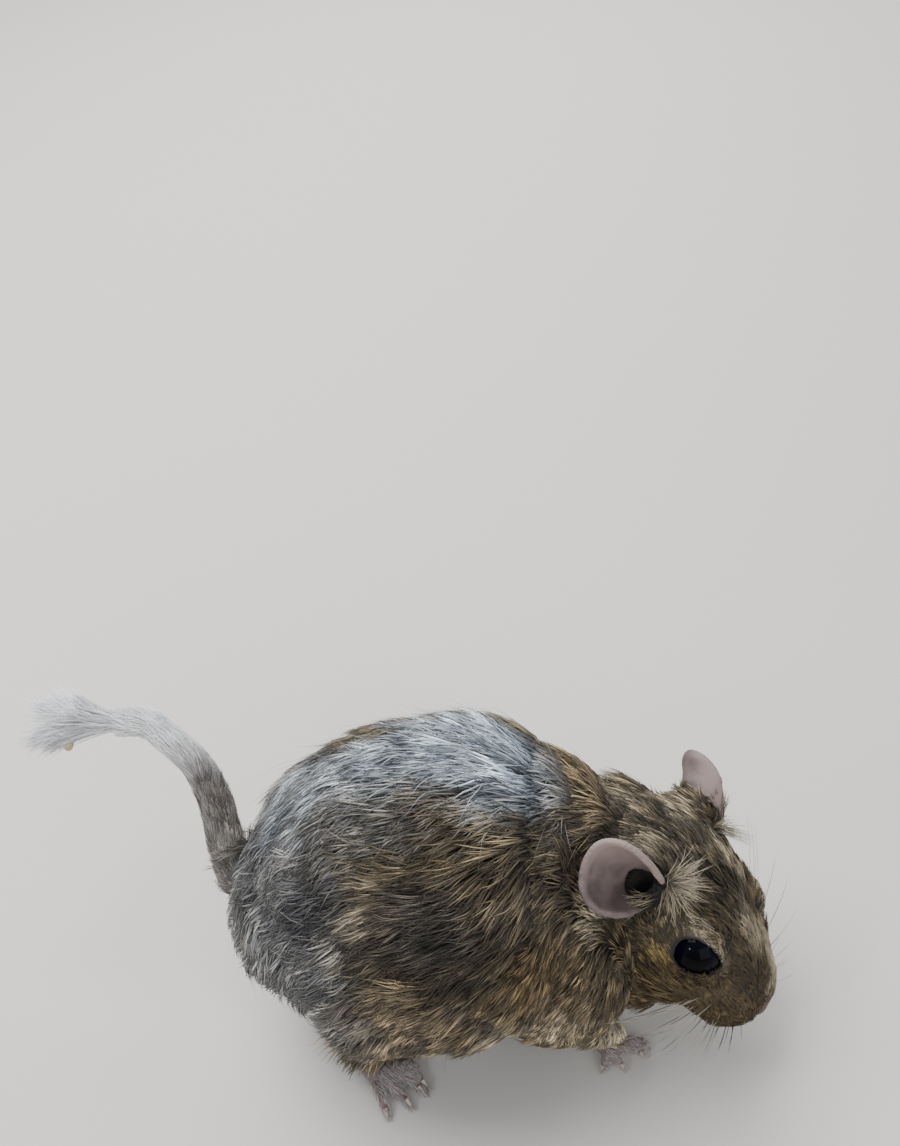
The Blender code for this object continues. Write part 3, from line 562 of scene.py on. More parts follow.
def spread(values, edges, times, share=0.5):
    """Evens values out over the mesh by moving each towards its neighbours' mean."""
    count = len(values)
    start, end = edges[:, 0], edges[:, 1]
    degree = np.maximum(np.bincount(edges.ravel(), minlength=count), 1)
    for _ in range(times):
        for k in range(values.shape[1]):
            column = values[:, k]
            total = np.bincount(start, column[end], count) + np.bincount(end, column[start], count)
            values[:, k] = column + share * (total / degree - column)
    return values


def kind_of(node):
    """A node's name without its side."""
    return node.split("_")[0]


def nearest_kinds(points):
    """For each point, the kind of flesh node that lies nearest."""
    kinds = sorted({kind_of(name) for name in FLESH})
    places, tags = [], []
    for name in FLESH:
        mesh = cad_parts[name].data
        for polygon in mesh.polygons:
            places.append(polygon.center)
            tags.append(kinds.index(kind_of(name)))
    tree = kdtree.KDTree(len(places))
    for i, place in enumerate(places):
        tree.insert(place, i)
    tree.balance()
    return kinds, np.array([tags[tree.find(Vector(p))[1]] for p in points])


def canal_at(name, side):
    """The middle of an ear's canal in the head's frame, in mm."""
    middle = EAR_AT[name] - EAR_ALONG[name].normalized() * CANAL_DOWN * MM + CANAL_AHEAD * MM
    return mirrored(middle, side) / MM


def eye_axes(side):
    """An eye's centre in the head's frame, in mm, its axis, and the axes along and across its lids."""
    out = mirrored(EYE_OUT, side)
    along = (LID_ALONG - out * LID_ALONG.dot(out)).normalized()
    over = out.cross(along) * side
    return [np.array(v) for v in (mirrored(EYE_AT, side) / MM, out, along, over)]


def eye_polar(places, side):
    """Distance of head places from an eye's centre in mm, and their polar angles round its axis."""
    centre, out, along, over = eye_axes(side)
    away = places - centre
    reach = np.maximum(np.linalg.norm(away, axis=1), 1e-6)
    lean = np.arccos(np.clip(away @ out / reach, -1, 1))
    turn = np.arctan2(away @ over, away @ along) % (2 * math.pi)
    return reach, lean, turn


def lid_lean(turn):
    """How far the opening between the lids reaches from the eye's axis, as an angle, for each turn."""
    fine = smooth_between([(v,) for v in LID_OPENING[-1:] + LID_OPENING + LID_OPENING[:2]], 6)[6:-6, 0]
    turns = np.linspace(0, 2 * math.pi, len(fine))
    return np.arcsin(np.interp(turn, turns, fine) * MM / EYE_RADIUS * 0.98)


def narrow_lids(points):
    """Draws the rims of the sockets in over the balls to the opening between the lids."""
    places = head_places(points)
    for side in SIDES.values():
        reach, lean, turn = eye_polar(places, side)
        slot = (turn / (2 * math.pi) * LID_SLOTS).astype(int) % LID_SLOTS
        rim = np.full(LID_SLOTS, math.pi)
        near = reach < LID_SPAN[0]
        np.minimum.at(rim, slot[near], lean[near])
        rim = (np.roll(rim, 1) + 2 * rim + np.roll(rim, -1)) / 4
        middles = (np.arange(-1, LID_SLOTS + 1) + 0.5) * 2 * math.pi / LID_SLOTS
        start = np.interp(turn, middles, np.concatenate([rim[-1:], rim, rim[:1]]))
        wanted = lid_lean(turn)
        share = np.clip((lean - start) / LID_BAND, 0, 1)
        fade = ramp(reach, LID_SPAN[1], LID_SPAN[0])
        drawn = lean + (1 - share) * (wanted - start) * fade
        base = EYE_RADIUS / MM + LID_GAP
        reach = base + (reach - base) * (1 - 0.5 * (1 - share) ** 2 * fade)
        centre, out, along, over = eye_axes(side)
        flat = np.cos(turn)[:, None] * along + np.sin(turn)[:, None] * over
        moved = centre + (out * np.cos(drawn)[:, None] + flat * np.sin(drawn)[:, None]) * reach[:, None]
        places = np.where(fade[:, None] > 0, moved, places)
    return places * MM @ HEAD_AXES.T + HEAD_ORIGIN


def past_lids(places, side):
    """Distance of head places from an eye's centre, and how far along the ball they are past its opening."""
    reach, lean, turn = eye_polar(places, side)
    return reach, (lean - lid_lean(turn)) * EYE_RADIUS / MM


def eye_reach(places):
    """For head places in mm: how far each lies outside the nearer eye's opening, along the ball."""
    best = np.full(len(places), 99.0)
    for side in SIDES.values():
        reach, out = past_lids(places, side)
        best = np.minimum(best, np.where(reach < LID_SPAN[1], out, 99))
    return best


def facing_eye(places, normals):
    """True where the skin faces an eyeball from close by, as the lids' inner sides do."""
    found = np.zeros(len(places), bool)
    for side in SIDES.values():
        reach, out = past_lids(places, side)
        turned = ((places - eye_axes(side)[0]) * normals).sum(1) / reach
        close = (reach < EYE_RADIUS / MM + LID_GAP + LID_RIM) & (out < LID_PAST)
        found |= (close & (turned < 0.5)) | (reach < EYE_RADIUS / MM)
    return found


def towards(values, coat, share):
    """The coat's values moved towards another coat's by a share at each vertex."""
    return values * (1 - share[:, None]) + np.array(coat) * share[:, None]


def coat_values(points, normals, edges):
    """The coat's depth, length, width, rise and density at each vertex; masks of ear, foot, tail, lid."""
    kinds, tags = nearest_kinds(points)
    values = np.array([COAT[kind] for kind in kinds], float)[tags]
    ear, hindfoot, forefoot, tail, head = (
        tags == kinds.index(kind) for kind in ("ear", "hindfoot", "forefoot", "tail", "head"))
    masks = np.stack([ear, hindfoot | forefoot, tail], 1).astype(float)
    hock = np.where(hindfoot, ramp(body_places(points)[:, 2], *HOCK_SPAN), 0)
    values = towards(values, HOCK_COAT, hock)
    masks[:, 1] *= 1 - hock
    values = spread(values, edges, 16)
    masks = spread(masks, edges, 3)
    places = head_places(points)
    values = towards(values, MUZZLE_COAT, np.where(head, ramp(places[:, 0], *MUZZLE_SPAN), 0))
    rim = eye_reach(places)
    values = towards(values, EYELID_COAT, np.where(head, ramp(rim, *EYELID_SPAN), 0))
    inner = facing_eye(places, normals @ HEAD_AXES)
    lid = np.maximum(ramp(rim, *LID_RIM_SPAN), inner)
    bare = np.where(inner | (rim < LID_BARE), 1, 0)
    pad = np.linalg.norm((places - NOSE_PAD[0]) / NOSE_PAD[1], axis=1)
    bare = np.maximum(bare, np.where(pad < 1, 1, 0))
    for name, side in SIDES.items():
        away = np.linalg.norm(places - np.array(canal_at(name, side)), axis=1)
        bare = np.maximum(bare, ramp(away, CANAL_RADIUS, CANAL_RADIUS - 0.6))
    values[:, 0] *= 1 - ramp(masks[:, 0], 0.02, 0.4)
    values[:, 4] *= 1 - bare
    values[:, 4] *= 1 - ramp(masks[:, 0], 0.25, 0.6)
    return values, np.column_stack([masks, lid])


def melted_flesh(settings):
    """The skin's object: flesh, tail and stump melted into one mesh and softened."""
    melt = bmesh.new()
    for name in FLESH:
        thin = name.startswith(("ear", "hindfoot", "forefoot"))
        part = swollen(name, THIN_SWELL if thin else settings.swell, 1 if name.startswith("ear") else 0)
        mesh = mesh_from(part, "part")
        melt.from_mesh(mesh)
        bpy.data.meshes.remove(mesh)
    points, radii = tail_line()
    tube_into(melt, points, radii, 16)
    end = Vector(points[-1])
    tube_into(melt, [end + STUMP_WAY * along * MM for along, radius in STUMP],
              [radius * MM for along, radius in STUMP], 14)
    skin = new_object("skin", mesh_from(melt, "skin", outwards=True))
    remesh = skin.modifiers.new("melt", "REMESH")
    remesh.mode = "VOXEL"
    remesh.voxel_size = settings.voxel
    soften = skin.modifiers.new("soften", "SMOOTH")
    soften.factor = 0.5
    soften.iterations = 4
    graph = bpy.context.evaluated_depsgraph_get()
    melted = bpy.data.meshes.new_from_object(skin.evaluated_get(graph))
    skin.modifiers.clear()
    skin.data = melted
    return skin


def build_skin(settings):
    """Draws the melted skin in under the coat, with the lids and the fine folds of the face."""
    skin = melted_flesh(settings)
    mesh = skin.data
    points = narrow_lids(mesh_arrays(mesh)[0])
    mesh.vertices.foreach_set("co", points.ravel())
    mesh.update()
    points, normals, edges = mesh_arrays(mesh)
    values, masks = coat_values(points, normals, edges)
    smooth = unit(spread(normals.copy(), edges, 12))
    drawn = points - smooth * values[:, :1] * MM * settings.depth
    furry = np.minimum(values[:, :1] / FURRY_DEPTH, 1)
    eased = spread(drawn.copy(), edges, 10)
    drawn = carve_face(drawn * (1 - furry) + eased * furry, smooth)
    mesh.vertices.foreach_set("co", drawn.ravel())
    for name, column in zip(("depth", "long", "wide", "rise", "dense"), values.T):
        add_values(mesh, name, column)
    for name, column in zip(("ear", "foot", "tail", "lid"), masks.T):
        add_values(mesh, name, column)
    mesh.update()
    return skin


def carve_face(points, normals):
    """Presses the nostrils, the line of the mouth and the lid creases into the skin."""
    places = head_places(points)
    press = np.zeros(len(points))
    for side in SIDES.values():
        for middle, reach, deep in PRESSED:
            away = (places - (middle[0], middle[1] * side, middle[2])) / reach
            press += deep * np.exp(-(away ** 2).sum(1))
    mouth = np.abs(places[:, 2] + MOUTH_BELOW + MOUTH_SLOPE * (places[:, 0] + 5)) / MOUTH_WIDE
    span = ramp(places[:, 0], -14.5, -12.5) * ramp(places[:, 2], -3, -5)
    press += MOUTH_DEEP * np.exp(-mouth ** 2) * span
    groove = np.abs(places[:, 1]) / GROOVE_WIDE
    press += GROOVE_DEEP * np.exp(-groove ** 2) * ramp(places[:, 0], -3.5, -2) * ramp(places[:, 2], -0.8, -2)
    crease = (eye_reach(places) - CREASE_AT) / CREASE_WIDE
    press += CREASE_DEEP * np.exp(-crease ** 2)
    return points - normals * press[:, None] * MM


def add_values(mesh, name, values):
    """Stores one number for each vertex under a name."""
    made = mesh.attributes.new(name, "FLOAT", "POINT")
    made.data.foreach_set("value", np.ascontiguousarray(values, dtype=np.float32))


def skin_faces():
    """The skin's vertices, their normals, its triangles, and the coat's values at each vertex by name."""
    mesh = bpy.data.objects["skin"].data
    points, normals = mesh_arrays(mesh)[:2]
    mesh.calc_loop_triangles()
    corners = np.empty(len(mesh.loop_triangles) * 3, int)
    mesh.loop_triangles.foreach_get("vertices", corners)
    values = {}
    for name in ("long", "wide", "rise", "dense", "foot", "tail"):
        column = np.empty(len(points), np.float32)
        mesh.attributes[name].data.foreach_get("value", column)
        values[name] = column.astype(float)
    return points, unit(normals), corners.reshape(-1, 3), values


class Roots:
    """Places where tufts grow, the skin's normal and the coat's values there, and the tufts' own draws."""

    def __init__(self, at, normal, values, draw):
        self.at = at
        self.normal = normal
        self.values = values
        self.draw = draw

    def __len__(self):
        return len(self.at)

    def subset(self, chosen):
        """The chosen roots as a set of their own."""
        values = {name: column[chosen] for name, column in self.values.items()}
        draw = np.random.default_rng(len(chosen) + int(chosen[0]))
        return Roots(self.at[chosen], self.normal[chosen], values, draw)


def scatter(count, seed, weigh):
    """Roots strewn over the skin, as densely at each vertex as weigh says."""
    points, normals, triangles, values = SKIN["faces"]
    a, b, c = (points[triangles[:, k]] for k in range(3))
    area = np.linalg.norm(np.cross(b - a, c - a), axis=1) / 2
    weight = area * weigh(points, values)[triangles].mean(1)
    draw = np.random.default_rng(seed)
    total = np.cumsum(weight)
    at = (np.arange(count) + draw.random(count)) / count * total[-1]
    chosen = np.minimum(np.searchsorted(total, at), len(triangles) - 1)
    u, v = draw.random(count), draw.random(count)
    over = u + v > 1
    u[over], v[over] = 1 - u[over], 1 - v[over]
    share = np.stack([1 - u - v, u, v], 1)[..., None]
    corners = triangles[chosen]
    found = {name: (column[corners] * share[..., 0]).sum(1) for name, column in values.items()}
    return Roots((points[corners] * share).sum(1), unit((normals[corners] * share).sum(1)), found, draw)


def lie_table():
    """The lie of the coat as world places and headings, both sides."""
    places, headings = [], []
    for table, matrix in ((BODY_LIE, Matrix.Translation(SHIFT)), (HEAD_LIE, FROM_HEAD)):
        for place, heading in table:
            for side in SIDES.values():
                at = Vector((place[0], -place[1] * side, place[2])) * MM
                to = Vector((heading[0], -heading[1] * side, heading[2]))
                places.append(matrix @ at)
                headings.append((matrix.to_3x3() @ to).normalized())
    line, radii = tail_line()
    for i in range(8, len(line) - 1, 6):
        places.append(line[i])
        headings.append(unit(line[i + 1] - line[i - 1]))
    for name, side in SIDES.items():
        for foot in FEET:
            ahead = heading_of(math.radians(foot["turn"][name]))
            places.append(SHIFT + Vector((*foot["heel"][name], 2)) * MM + ahead * foot["middle"] * MM)
            headings.append(ahead + Vector((0, 0, -0.2)))
    return np.array(places), np.array(headings)


def wave_noise(points, size, seed):
    """A smooth vector noise of the given size in metres, between about -1 and 1."""
    draw = np.random.default_rng(seed)
    total = np.zeros_like(points)
    for _ in range(7):
        way = unit(draw.normal(size=(3, 3)))
        speed = draw.uniform(0.7, 1.5, 3) * 2 * math.pi / size
        start = draw.uniform(0, 2 * math.pi, 3)
        total += np.sin(points @ way.T * speed + start) * 0.38
    return total


def lie_of(points, normals):
    """The heading of the coat at each place, along the skin."""
    places, headings = lie_table()
    total = np.zeros_like(points)
    for place, heading in zip(places, headings):
        away = ((points - place) ** 2).sum(1) / MM ** 2 + 6
        total += heading * (1 / away ** 2)[:, None]
    way = unit(total)
    for size, seed, strength in LIE_WAVES:
        way = way + wave_noise(points, size * MM, seed) * strength
    places = head_places(points)
    near = ramp(eye_reach(places), 2.6, 0.4)[:, None]
    for side in SIDES.values():
        centre = FROM_HEAD @ mirrored(EYE_AT, side)
        away = points - np.array(centre)
        close = near * (np.linalg.norm(away, axis=1) < LID_SPAN[1] * MM)[:, None]
        away = unit(away - normals * (away * normals).sum(1, keepdims=True))
        inward = np.minimum((way * away).sum(1, keepdims=True), 0)
        way = way + away * close * (0.2 - inward)
    way -= normals * (way * normals).sum(1, keepdims=True)
    return unit(way)


def clumps(roots, tips, share, seed):
    """Shifts that draw share neighbouring tips together into a lock, and a number for each lock."""
    draw = np.random.default_rng(seed)
    count = max(2, len(tips) // share)
    chosen = draw.choice(len(tips), count, replace=False)
    tree = kdtree.KDTree(count)
    for i, k in enumerate(chosen):
        tree.insert(roots[k], i)
    tree.balance()
    nearest = chosen[np.array([tree.find(p)[1] for p in roots])]
    shift = (tips[nearest] - roots[nearest]) - (tips - roots) + (roots[nearest] - roots) * 0.75
    return shift, nearest * GOLDEN_SHARE % 1


def unrolled(places, middle):
    """Places unrolled round an axis at the height of middle: their turn, 0 to 1, and their way along it."""
    turn = np.arctan2(places[:, 1], places[:, 2] - middle) / (2 * math.pi) + 0.5
    return turn, places[:, 0]


def unwrap(points):
    """The body's skin unrolled round its own axis."""
    return unrolled(body_places(points), 30)


def head_unwrap(points):
    """The head's skin unrolled round its own axis."""
    return unrolled(head_places(points), -1)


def limited(shifts, most):
    """Shifts, each made no longer than its own most."""
    size = np.linalg.norm(shifts, axis=1)
    return shifts * np.minimum(1, most / np.maximum(size, 1e-9))[:, None]


def fit(values):
    """Numbers spread over the map between its margins."""
    low, high = values.min(), values.max()
    return 0.01 + 0.97 * (values - low) / max(high - low, 1e-9)


def tuft_mesh(name, roots, normals, headings, long, wide, rise, tints, locks, shift, unroll, pull,
              curl=0.12, seed=5, sag=0.62):
    """One mesh of tapered three-sided tufts. Each rises off the skin, lies over and ends in a point.

    Their tips follow shift by the share pull, bend aside by up to about curl and come down again by sag.
    """
    count = len(roots)
    draw = np.random.default_rng(seed)
    side = unit(np.cross(headings, normals))
    bend = draw.normal(size=(count, 1)) * curl
    long, wide, rise = long[:, None], wide[:, None], rise[:, None]
    rings = []
    for t in (*TUFT_RINGS, 1.0):
        middle = roots + headings * long * t + normals * long * rise * (t - sag * t * t)
        rings.append(middle + side * long * bend * t * t + shift * pull * t ** 1.6)
    corners_each = 3 * len(TUFT_RINGS) + 1
    places = np.empty((count, corners_each, 3))
    for k, (middle, width) in enumerate(zip(rings, TUFT_WIDTHS)):
        spin = side * wide * width / 2
        thick = normals * wide * width * TUFT_THICK
        places[:, k * 3] = middle - spin
        places[:, k * 3 + 1] = middle + spin
        places[:, k * 3 + 2] = middle + thick
    places[:, :3] -= (normals * TUFT_ROOT * MM)[:, None]
    places[:, 9] = rings[3]
    places[..., 2] = np.maximum(places[..., 2], FLOOR_GAP)
    ring_sides = ((0, 1), (1, 2), (2, 0))
    faces = []
    for low in (0, 3):
        for a, b in ring_sides:
            faces += [(low + a, low + b, low + b + 3), (low + a, low + b + 3, low + a + 3)]
    faces += [(6 + a, 6 + b, 9) for a, b in ring_sides]
    faces = np.array(faces)[:, ::-1]
    corners = (np.arange(count)[:, None, None] * corners_each + faces[None]).reshape(-1)
    mesh = bpy.data.meshes.new(name)
    mesh.vertices.add(count * corners_each)
    mesh.vertices.foreach_set("co", places.ravel())
    mesh.loops.add(len(corners))
    mesh.loops.foreach_set("vertex_index", corners.astype(np.int32))
    mesh.polygons.add(len(corners) // 3)
    mesh.polygons.foreach_set("loop_start", np.arange(0, len(corners), 3, dtype=np.int32))
    mesh.update(calc_edges=True)
    along = np.repeat(np.append(np.repeat(TUFT_RINGS, 3), 1.0)[None], count, 0)
    across = np.repeat(np.array([0, 1, 0.5] * 3 + [0.5])[None], count, 0)
    add_values(mesh, "along", along.ravel())
    add_values(mesh, "across", across.ravel())
    add_values(mesh, "tint", np.repeat(tints, corners_each))
    add_values(mesh, "lock", np.repeat(locks, corners_each))
    held = mesh.attributes.new("root", "FLOAT_VECTOR", "POINT")
    held.data.foreach_set("vector", np.repeat(roots.astype(np.float32), corners_each, 0).ravel())
    turn, way = unroll(roots)
    u = fit(turn)[:, None] + across * MAP_PATCH
    v = fit(way)[:, None] + along * MAP_PATCH
    uv = np.stack([u.ravel(), v.ravel()], 1)[corners]
    layer = mesh.uv_layers.new(name="OFBake")
    layer.data.foreach_set("uv", uv.astype(np.float32).ravel())
    return new_object(name, mesh)


def grow(name, roots, material, slot, unroll, share, **how):
    """Tufts on roots from the skin, sized by the coat's values there. As many as share form one lock."""
    values, draw = roots.values, roots.draw
    headings = lie_of(roots.at, roots.normal)
    length = values["long"] * MM * draw.uniform(0.72, 1.12, len(roots))
    width = values["wide"] * MM * draw.uniform(0.7, 1.25, len(roots))
    rise = values["rise"] * draw.uniform(0.7, 1.3, len(roots))
    tips = roots.at + headings * length[:, None] + roots.normal * (length * rise * 0.4)[:, None]
    shift, locks = clumps(roots.at, tips, share, 21)
    thing = tuft_mesh(name, roots.at, roots.normal, headings, length, width, rise,
                      draw.random(len(roots)), locks, limited(shift, length * 0.5), unroll, **how)
    thing.data.materials.append(material)
    return fitted(thing)


def feed(tree, socket, value):
    """Links a socket to another one or sets its value. A colour of three numbers gets its fourth."""
    if isinstance(value, bpy.types.NodeSocket):
        tree.links.new(value, socket)
    elif isinstance(value, tuple) and len(value) == 3 and socket.type == "RGBA":
        socket.default_value = (*value, 1)
    else:
        socket.default_value = value


def node_in(tree, kind, **inputs):
    """A shader node with values or links on its inputs, by name or number, and its own settings."""
    made = tree.nodes.new("ShaderNode" + kind)
    for key, value in inputs.items():
        if key.startswith("set_"):
            setattr(made, key[4:], value)
        else:
            socket = int(key[1:]) if key[1:].isdigit() else key.replace("_", " ")
            feed(tree, made.inputs[socket], value)
    return made


def sums(tree, operation, *values):
    """The result of a Math node on up to three values or links."""
    inputs = {f"i{k}": value for k, value in enumerate(values)}
    return node_in(tree, "Math", set_operation=operation, **inputs).outputs[0]


def product(tree, first, second):
    """Two numbers multiplied."""
    return sums(tree, "MULTIPLY", first, second)


def vectors(tree, operation, first, second=(0, 0, 0)):
    """The result of a Vector Math node: a number for a length or distance, and a vector otherwise."""
    made = node_in(tree, "VectorMath", set_operation=operation, i0=first, i1=second)
    return made.outputs["Value" if operation in ("LENGTH", "DISTANCE") else "Vector"]


def noise_in(tree, place, scale, detail=2.0):
    """A smooth noise at a place, about 0.5."""
    return node_in(tree, "TexNoise", Vector=place, Scale=scale, Detail=detail).outputs["Fac"]


def object_place(tree):
    """The place on the piece, which is its place in the world."""
    return node_in(tree, "TexCoord").outputs["Object"]


def place_in_frame(tree, place, origin, turn=(0, 0, 0), size=MM):
    """A place in a frame that stands at origin, turned, and counts in units of the given size."""
    return node_in(tree, "Mapping", set_vector_type="TEXTURE", Vector=place, Location=tuple(origin),
                   Rotation=tuple(turn), Scale=(size,) * 3).outputs[0]


def stored(tree, name, kind="Fac"):
    """A value that the mesh stores under a name."""
    return node_in(tree, "Attribute", set_attribute_name=name).outputs[kind]


def blend_colour(tree, share, low, high, way="MIX"):
    """Two colours blended by a share."""
    made = node_in(tree, "Mix", set_data_type="RGBA", set_blend_type=way, i0=share, i6=low, i7=high)
    return made.outputs[2]


def shaded(tree, colour, level):
    """A colour made darker or lighter by a number."""
    grey = node_in(tree, "CombineColor", Red=level, Green=level, Blue=level).outputs[0]
    return blend_colour(tree, 1.0, colour, grey, "MULTIPLY")


def mapped(tree, value, low, high, to_low, to_high):
    """A number mapped smoothly from one range to another."""
    return node_in(tree, "MapRange", set_interpolation_type="SMOOTHSTEP", i0=value, i1=low, i2=high,
                   i3=to_low, i4=to_high).outputs[0]


def new_group(name, inputs, outputs):
    """An empty shader node group with named sockets."""
    tree = bpy.data.node_groups.new(name, "ShaderNodeTree")
    for title, kind, value in inputs:
        socket = tree.interface.new_socket(title, in_out="INPUT", socket_type="NodeSocket" + kind)
        if value is not None:
            socket.default_value = value
    for title, kind in outputs:
        tree.interface.new_socket(title, in_out="OUTPUT", socket_type="NodeSocket" + kind)
    return tree, tree.nodes.new("NodeGroupInput"), tree.nodes.new("NodeGroupOutput")


def group_in(tree, group, **inputs):
    """A node group in a tree, with values or links on its inputs."""
    return node_in(tree, "Group", set_node_tree=group, **inputs)


def markings_group(coat):
    """The markings of the coat, with painted sheen on the back, at a place on the skin, for skin and tufts
    alike.
    """
    if "Degu markings" in bpy.data.node_groups:
        return bpy.data.node_groups["Degu markings"]
    tree, start, end = new_group("Degu markings", [("Place", "Vector", None)], [("Colour", "Color")])
    place = start.outputs["Place"]
    drift = node_in(tree, "TexNoise", Vector=place, Scale=130.0, Detail=3.0).outputs["Color"]
    drift = vectors(tree, "SUBTRACT", drift, (0.5, 0.5, 0.5))
    drift = node_in(tree, "VectorMath", set_operation="SCALE", i0=drift, Scale=0.0055).outputs[0]
    loose = vectors(tree, "ADD", place, drift)
    body = place_in_frame(tree, loose, SHIFT)
    head = place_in_frame(tree, loose, SHIFT + NOSE_AT, HEAD_TURN)
    broad = noise_in(tree, place, 60.0, 4.0)
    base = blend_colour(tree, mapped(tree, broad, 0.3, 0.7, 0.0, 0.45), tuple(coat.base), tuple(coat.buff))
    fine = noise_in(tree, place, 320.0, 2.0)
    colour = blend_colour(tree, mapped(tree, fine, 0.48, 0.72, 0.0, 0.40), base, tuple(coat.crown))
    for places, table in ((body, BODY_PATCHES), (head, HEAD_PATCHES)):
        for finish, middle, reach, strength, pair in table:
            for side in ((1, -1) if pair else (1,)):
                away = vectors(tree, "SUBTRACT", places, (middle[0], middle[1] * side, middle[2]))
                away = vectors(tree, "LENGTH", vectors(tree, "DIVIDE", away, reach))
                share = mapped(tree, away, *PATCH_FADE, 0.0, strength)
                colour = blend_colour(tree, share, colour, tuple(getattr(coat, finish)))
    tree.links.new(colour, end.inputs["Colour"])
    return tree


def banding_group():
    """The bands of one hair: slate at its root, its own colour, a pale band and often a black tip."""
    if "Hair bands" in bpy.data.node_groups:
        return bpy.data.node_groups["Hair bands"]
    tree, start, end = new_group(
        "Hair bands",
        [("Colour", "Color", None), ("Along", "Float", 0.5), ("Across", "Float", 0.5),
         ("Tint", "Float", 0.5), ("Lock", "Float", 0.5), ("Ticking", "Float", 1.0)],
        [("Colour", "Color")])
    colour, along, across = (start.outputs[k] for k in ("Colour", "Along", "Across"))
    tint, lock, ticking = (start.outputs[k] for k in ("Tint", "Lock", "Ticking"))
    second, third, other = (
        sums(tree, "FRACT", product(tree, value, factor))
        for value, factor in ((tint, 7.31), (tint, 23.7), (lock, 17.3)))
    of_hair = mapped(tree, second, 0.0, 1.0, 0.66, 1.38)
    level = product(tree, of_hair, mapped(tree, lock, 0.0, 1.0, 0.52, 1.50))
    across = product(tree, across, 4.0)
    place = node_in(tree, "CombineXYZ", X=sums(tree, "MULTIPLY_ADD", tint, 91.0, across),
                    Y=product(tree, along, 0.9), Z=product(tree, lock, 40.0)).outputs[0]
    streak = noise_in(tree, place, 1.0, 1.0)
    level = product(tree, level, mapped(tree, streak, 0.34, 0.66, 0.62, 1.42))
    level = sums(tree, "MULTIPLY_ADD", sums(tree, "SUBTRACT", level, 1.0), ticking, 1.0)
    own = shaded(tree, colour, level)
    chance = sums(tree, "MULTIPLY_ADD", other, 0.5, product(tree, third, 0.5))
    in_band = mapped(tree, along, 0.42, 0.62, 0.0, 1.0)
    band = product(tree, in_band, mapped(tree, chance, 0.42, 0.72, 0, 0.9))
    pale = blend_colour(tree, 1.0, own, PALE_BAND, "MULTIPLY")
    own = blend_colour(tree, product(tree, band, ticking), own, pale)
    at_tip = mapped(tree, along, 0.74, 0.95, 0.0, 1.0)
    tip = product(tree, at_tip, mapped(tree, chance, 0.55, 0.30, 0, 0.9))
    own = blend_colour(tree, product(tree, tip, ticking), own, BLACK_TIP)
    own = blend_colour(tree, mapped(tree, along, 0.55, 0.12, 0.0, 0.85), own, SLATE_ROOT)
    tree.links.new(own, end.inputs["Colour"])
    return tree


def grain_group():
    """Fine creases and pores of bare skin, as a height and a mask."""
    if "Skin grain" in bpy.data.node_groups:
        return bpy.data.node_groups["Skin grain"]
    tree, start, end = new_group("Skin grain", [("Place", "Vector", None), ("Size", "Float", 900.0)],
                                 [("Height", "Float"), ("Mottle", "Float")])
    place, size = start.outputs["Place"], start.outputs["Size"]
    cells = node_in(tree, "TexVoronoi", Vector=place, Scale=size, set_feature="DISTANCE_TO_EDGE")
    fine = noise_in(tree, place, product(tree, size, 2.2), 5.0)
    crease = mapped(tree, cells.outputs["Distance"], 0.0, 0.12, 0.0, 1.0)
    tree.links.new(sums(tree, "MULTIPLY_ADD", fine, 0.6, crease), end.inputs["Height"])
    broad = noise_in(tree, place, product(tree, size, 0.08), 4.0)
    tree.links.new(mapped(tree, broad, 0.35, 0.65, 0.0, 1.0), end.inputs["Mottle"])
    return tree


def new_material(name, roughness, specular):
    """A material with its node tree and its Principled shader."""
    made = bpy.data.materials.new(name)
    made.use_nodes = True
    tree = made.node_tree
    shader = tree.nodes["Principled BSDF"]
    shader.inputs["Roughness"].default_value = roughness
    shader.inputs["Specular IOR Level"].default_value = specular
    return made, tree, shader


def mottled(name, roughness, specular, scale, detail, low, high, colours):
    """A material of two colours, mixed by a noise between low and high."""
    made, tree, shader = new_material(name, roughness, specular)
    noise = noise_in(tree, object_place(tree), scale, detail)
    share = mapped(tree, noise, low, high, 0, 1)
    tree.links.new(blend_colour(tree, share, *colours), shader.inputs["Base Color"])
    return made


def coat_material(coat):
    """The agouti coat of the tufts: markings from each root, bands along each hair, faint on the muzzle."""
    name = "agouti coat"
    if name in bpy.data.materials:
        return bpy.data.materials[name]
    made, tree, shader = new_material(name, 0.52, 0.30)
    root = stored(tree, "root", "Vector")
    colour = group_in(tree, markings_group(coat), Place=root).outputs[0]
    away = vectors(tree, "DISTANCE", root, tuple(SHIFT + NOSE_AT))
    own = {key: stored(tree, key.lower()) for key in ("Along", "Across", "Tint", "Lock")}
    colour = group_in(tree, banding_group(), Colour=colour, **own,
                      Ticking=mapped(tree, away, 0.010, 0.030, 0.45, 1.0)).outputs[0]
    tree.links.new(colour, shader.inputs["Base Color"])
    streak = noise_in(tree, object_place(tree), 2600.0, 1.0)
    bump = node_in(tree, "Bump", Strength=0.35, Distance=0.0001, Height=streak)
    tree.links.new(bump.outputs[0], shader.inputs["Normal"])
    tree.links.new(mapped(tree, streak, 0.3, 0.7, 0.45, 0.62), shader.inputs["Roughness"])
    return made


def plain_hair(name, low, high):
    """Hair of one kind: low at the root to high at the tip, each strand a little its own shade."""
    if name in bpy.data.materials:
        return bpy.data.materials[name]
    made, tree, shader = new_material(name, 0.5, 0.4)
    colour = blend_colour(tree, mapped(tree, stored(tree, "along"), 0.0, 0.6, 0.0, 1.0), low, high)
    level = mapped(tree, stored(tree, "tint"), 0.0, 1.0, 0.72, 1.12)
    tree.links.new(shaded(tree, colour, level), shader.inputs["Base Color"])
    return made


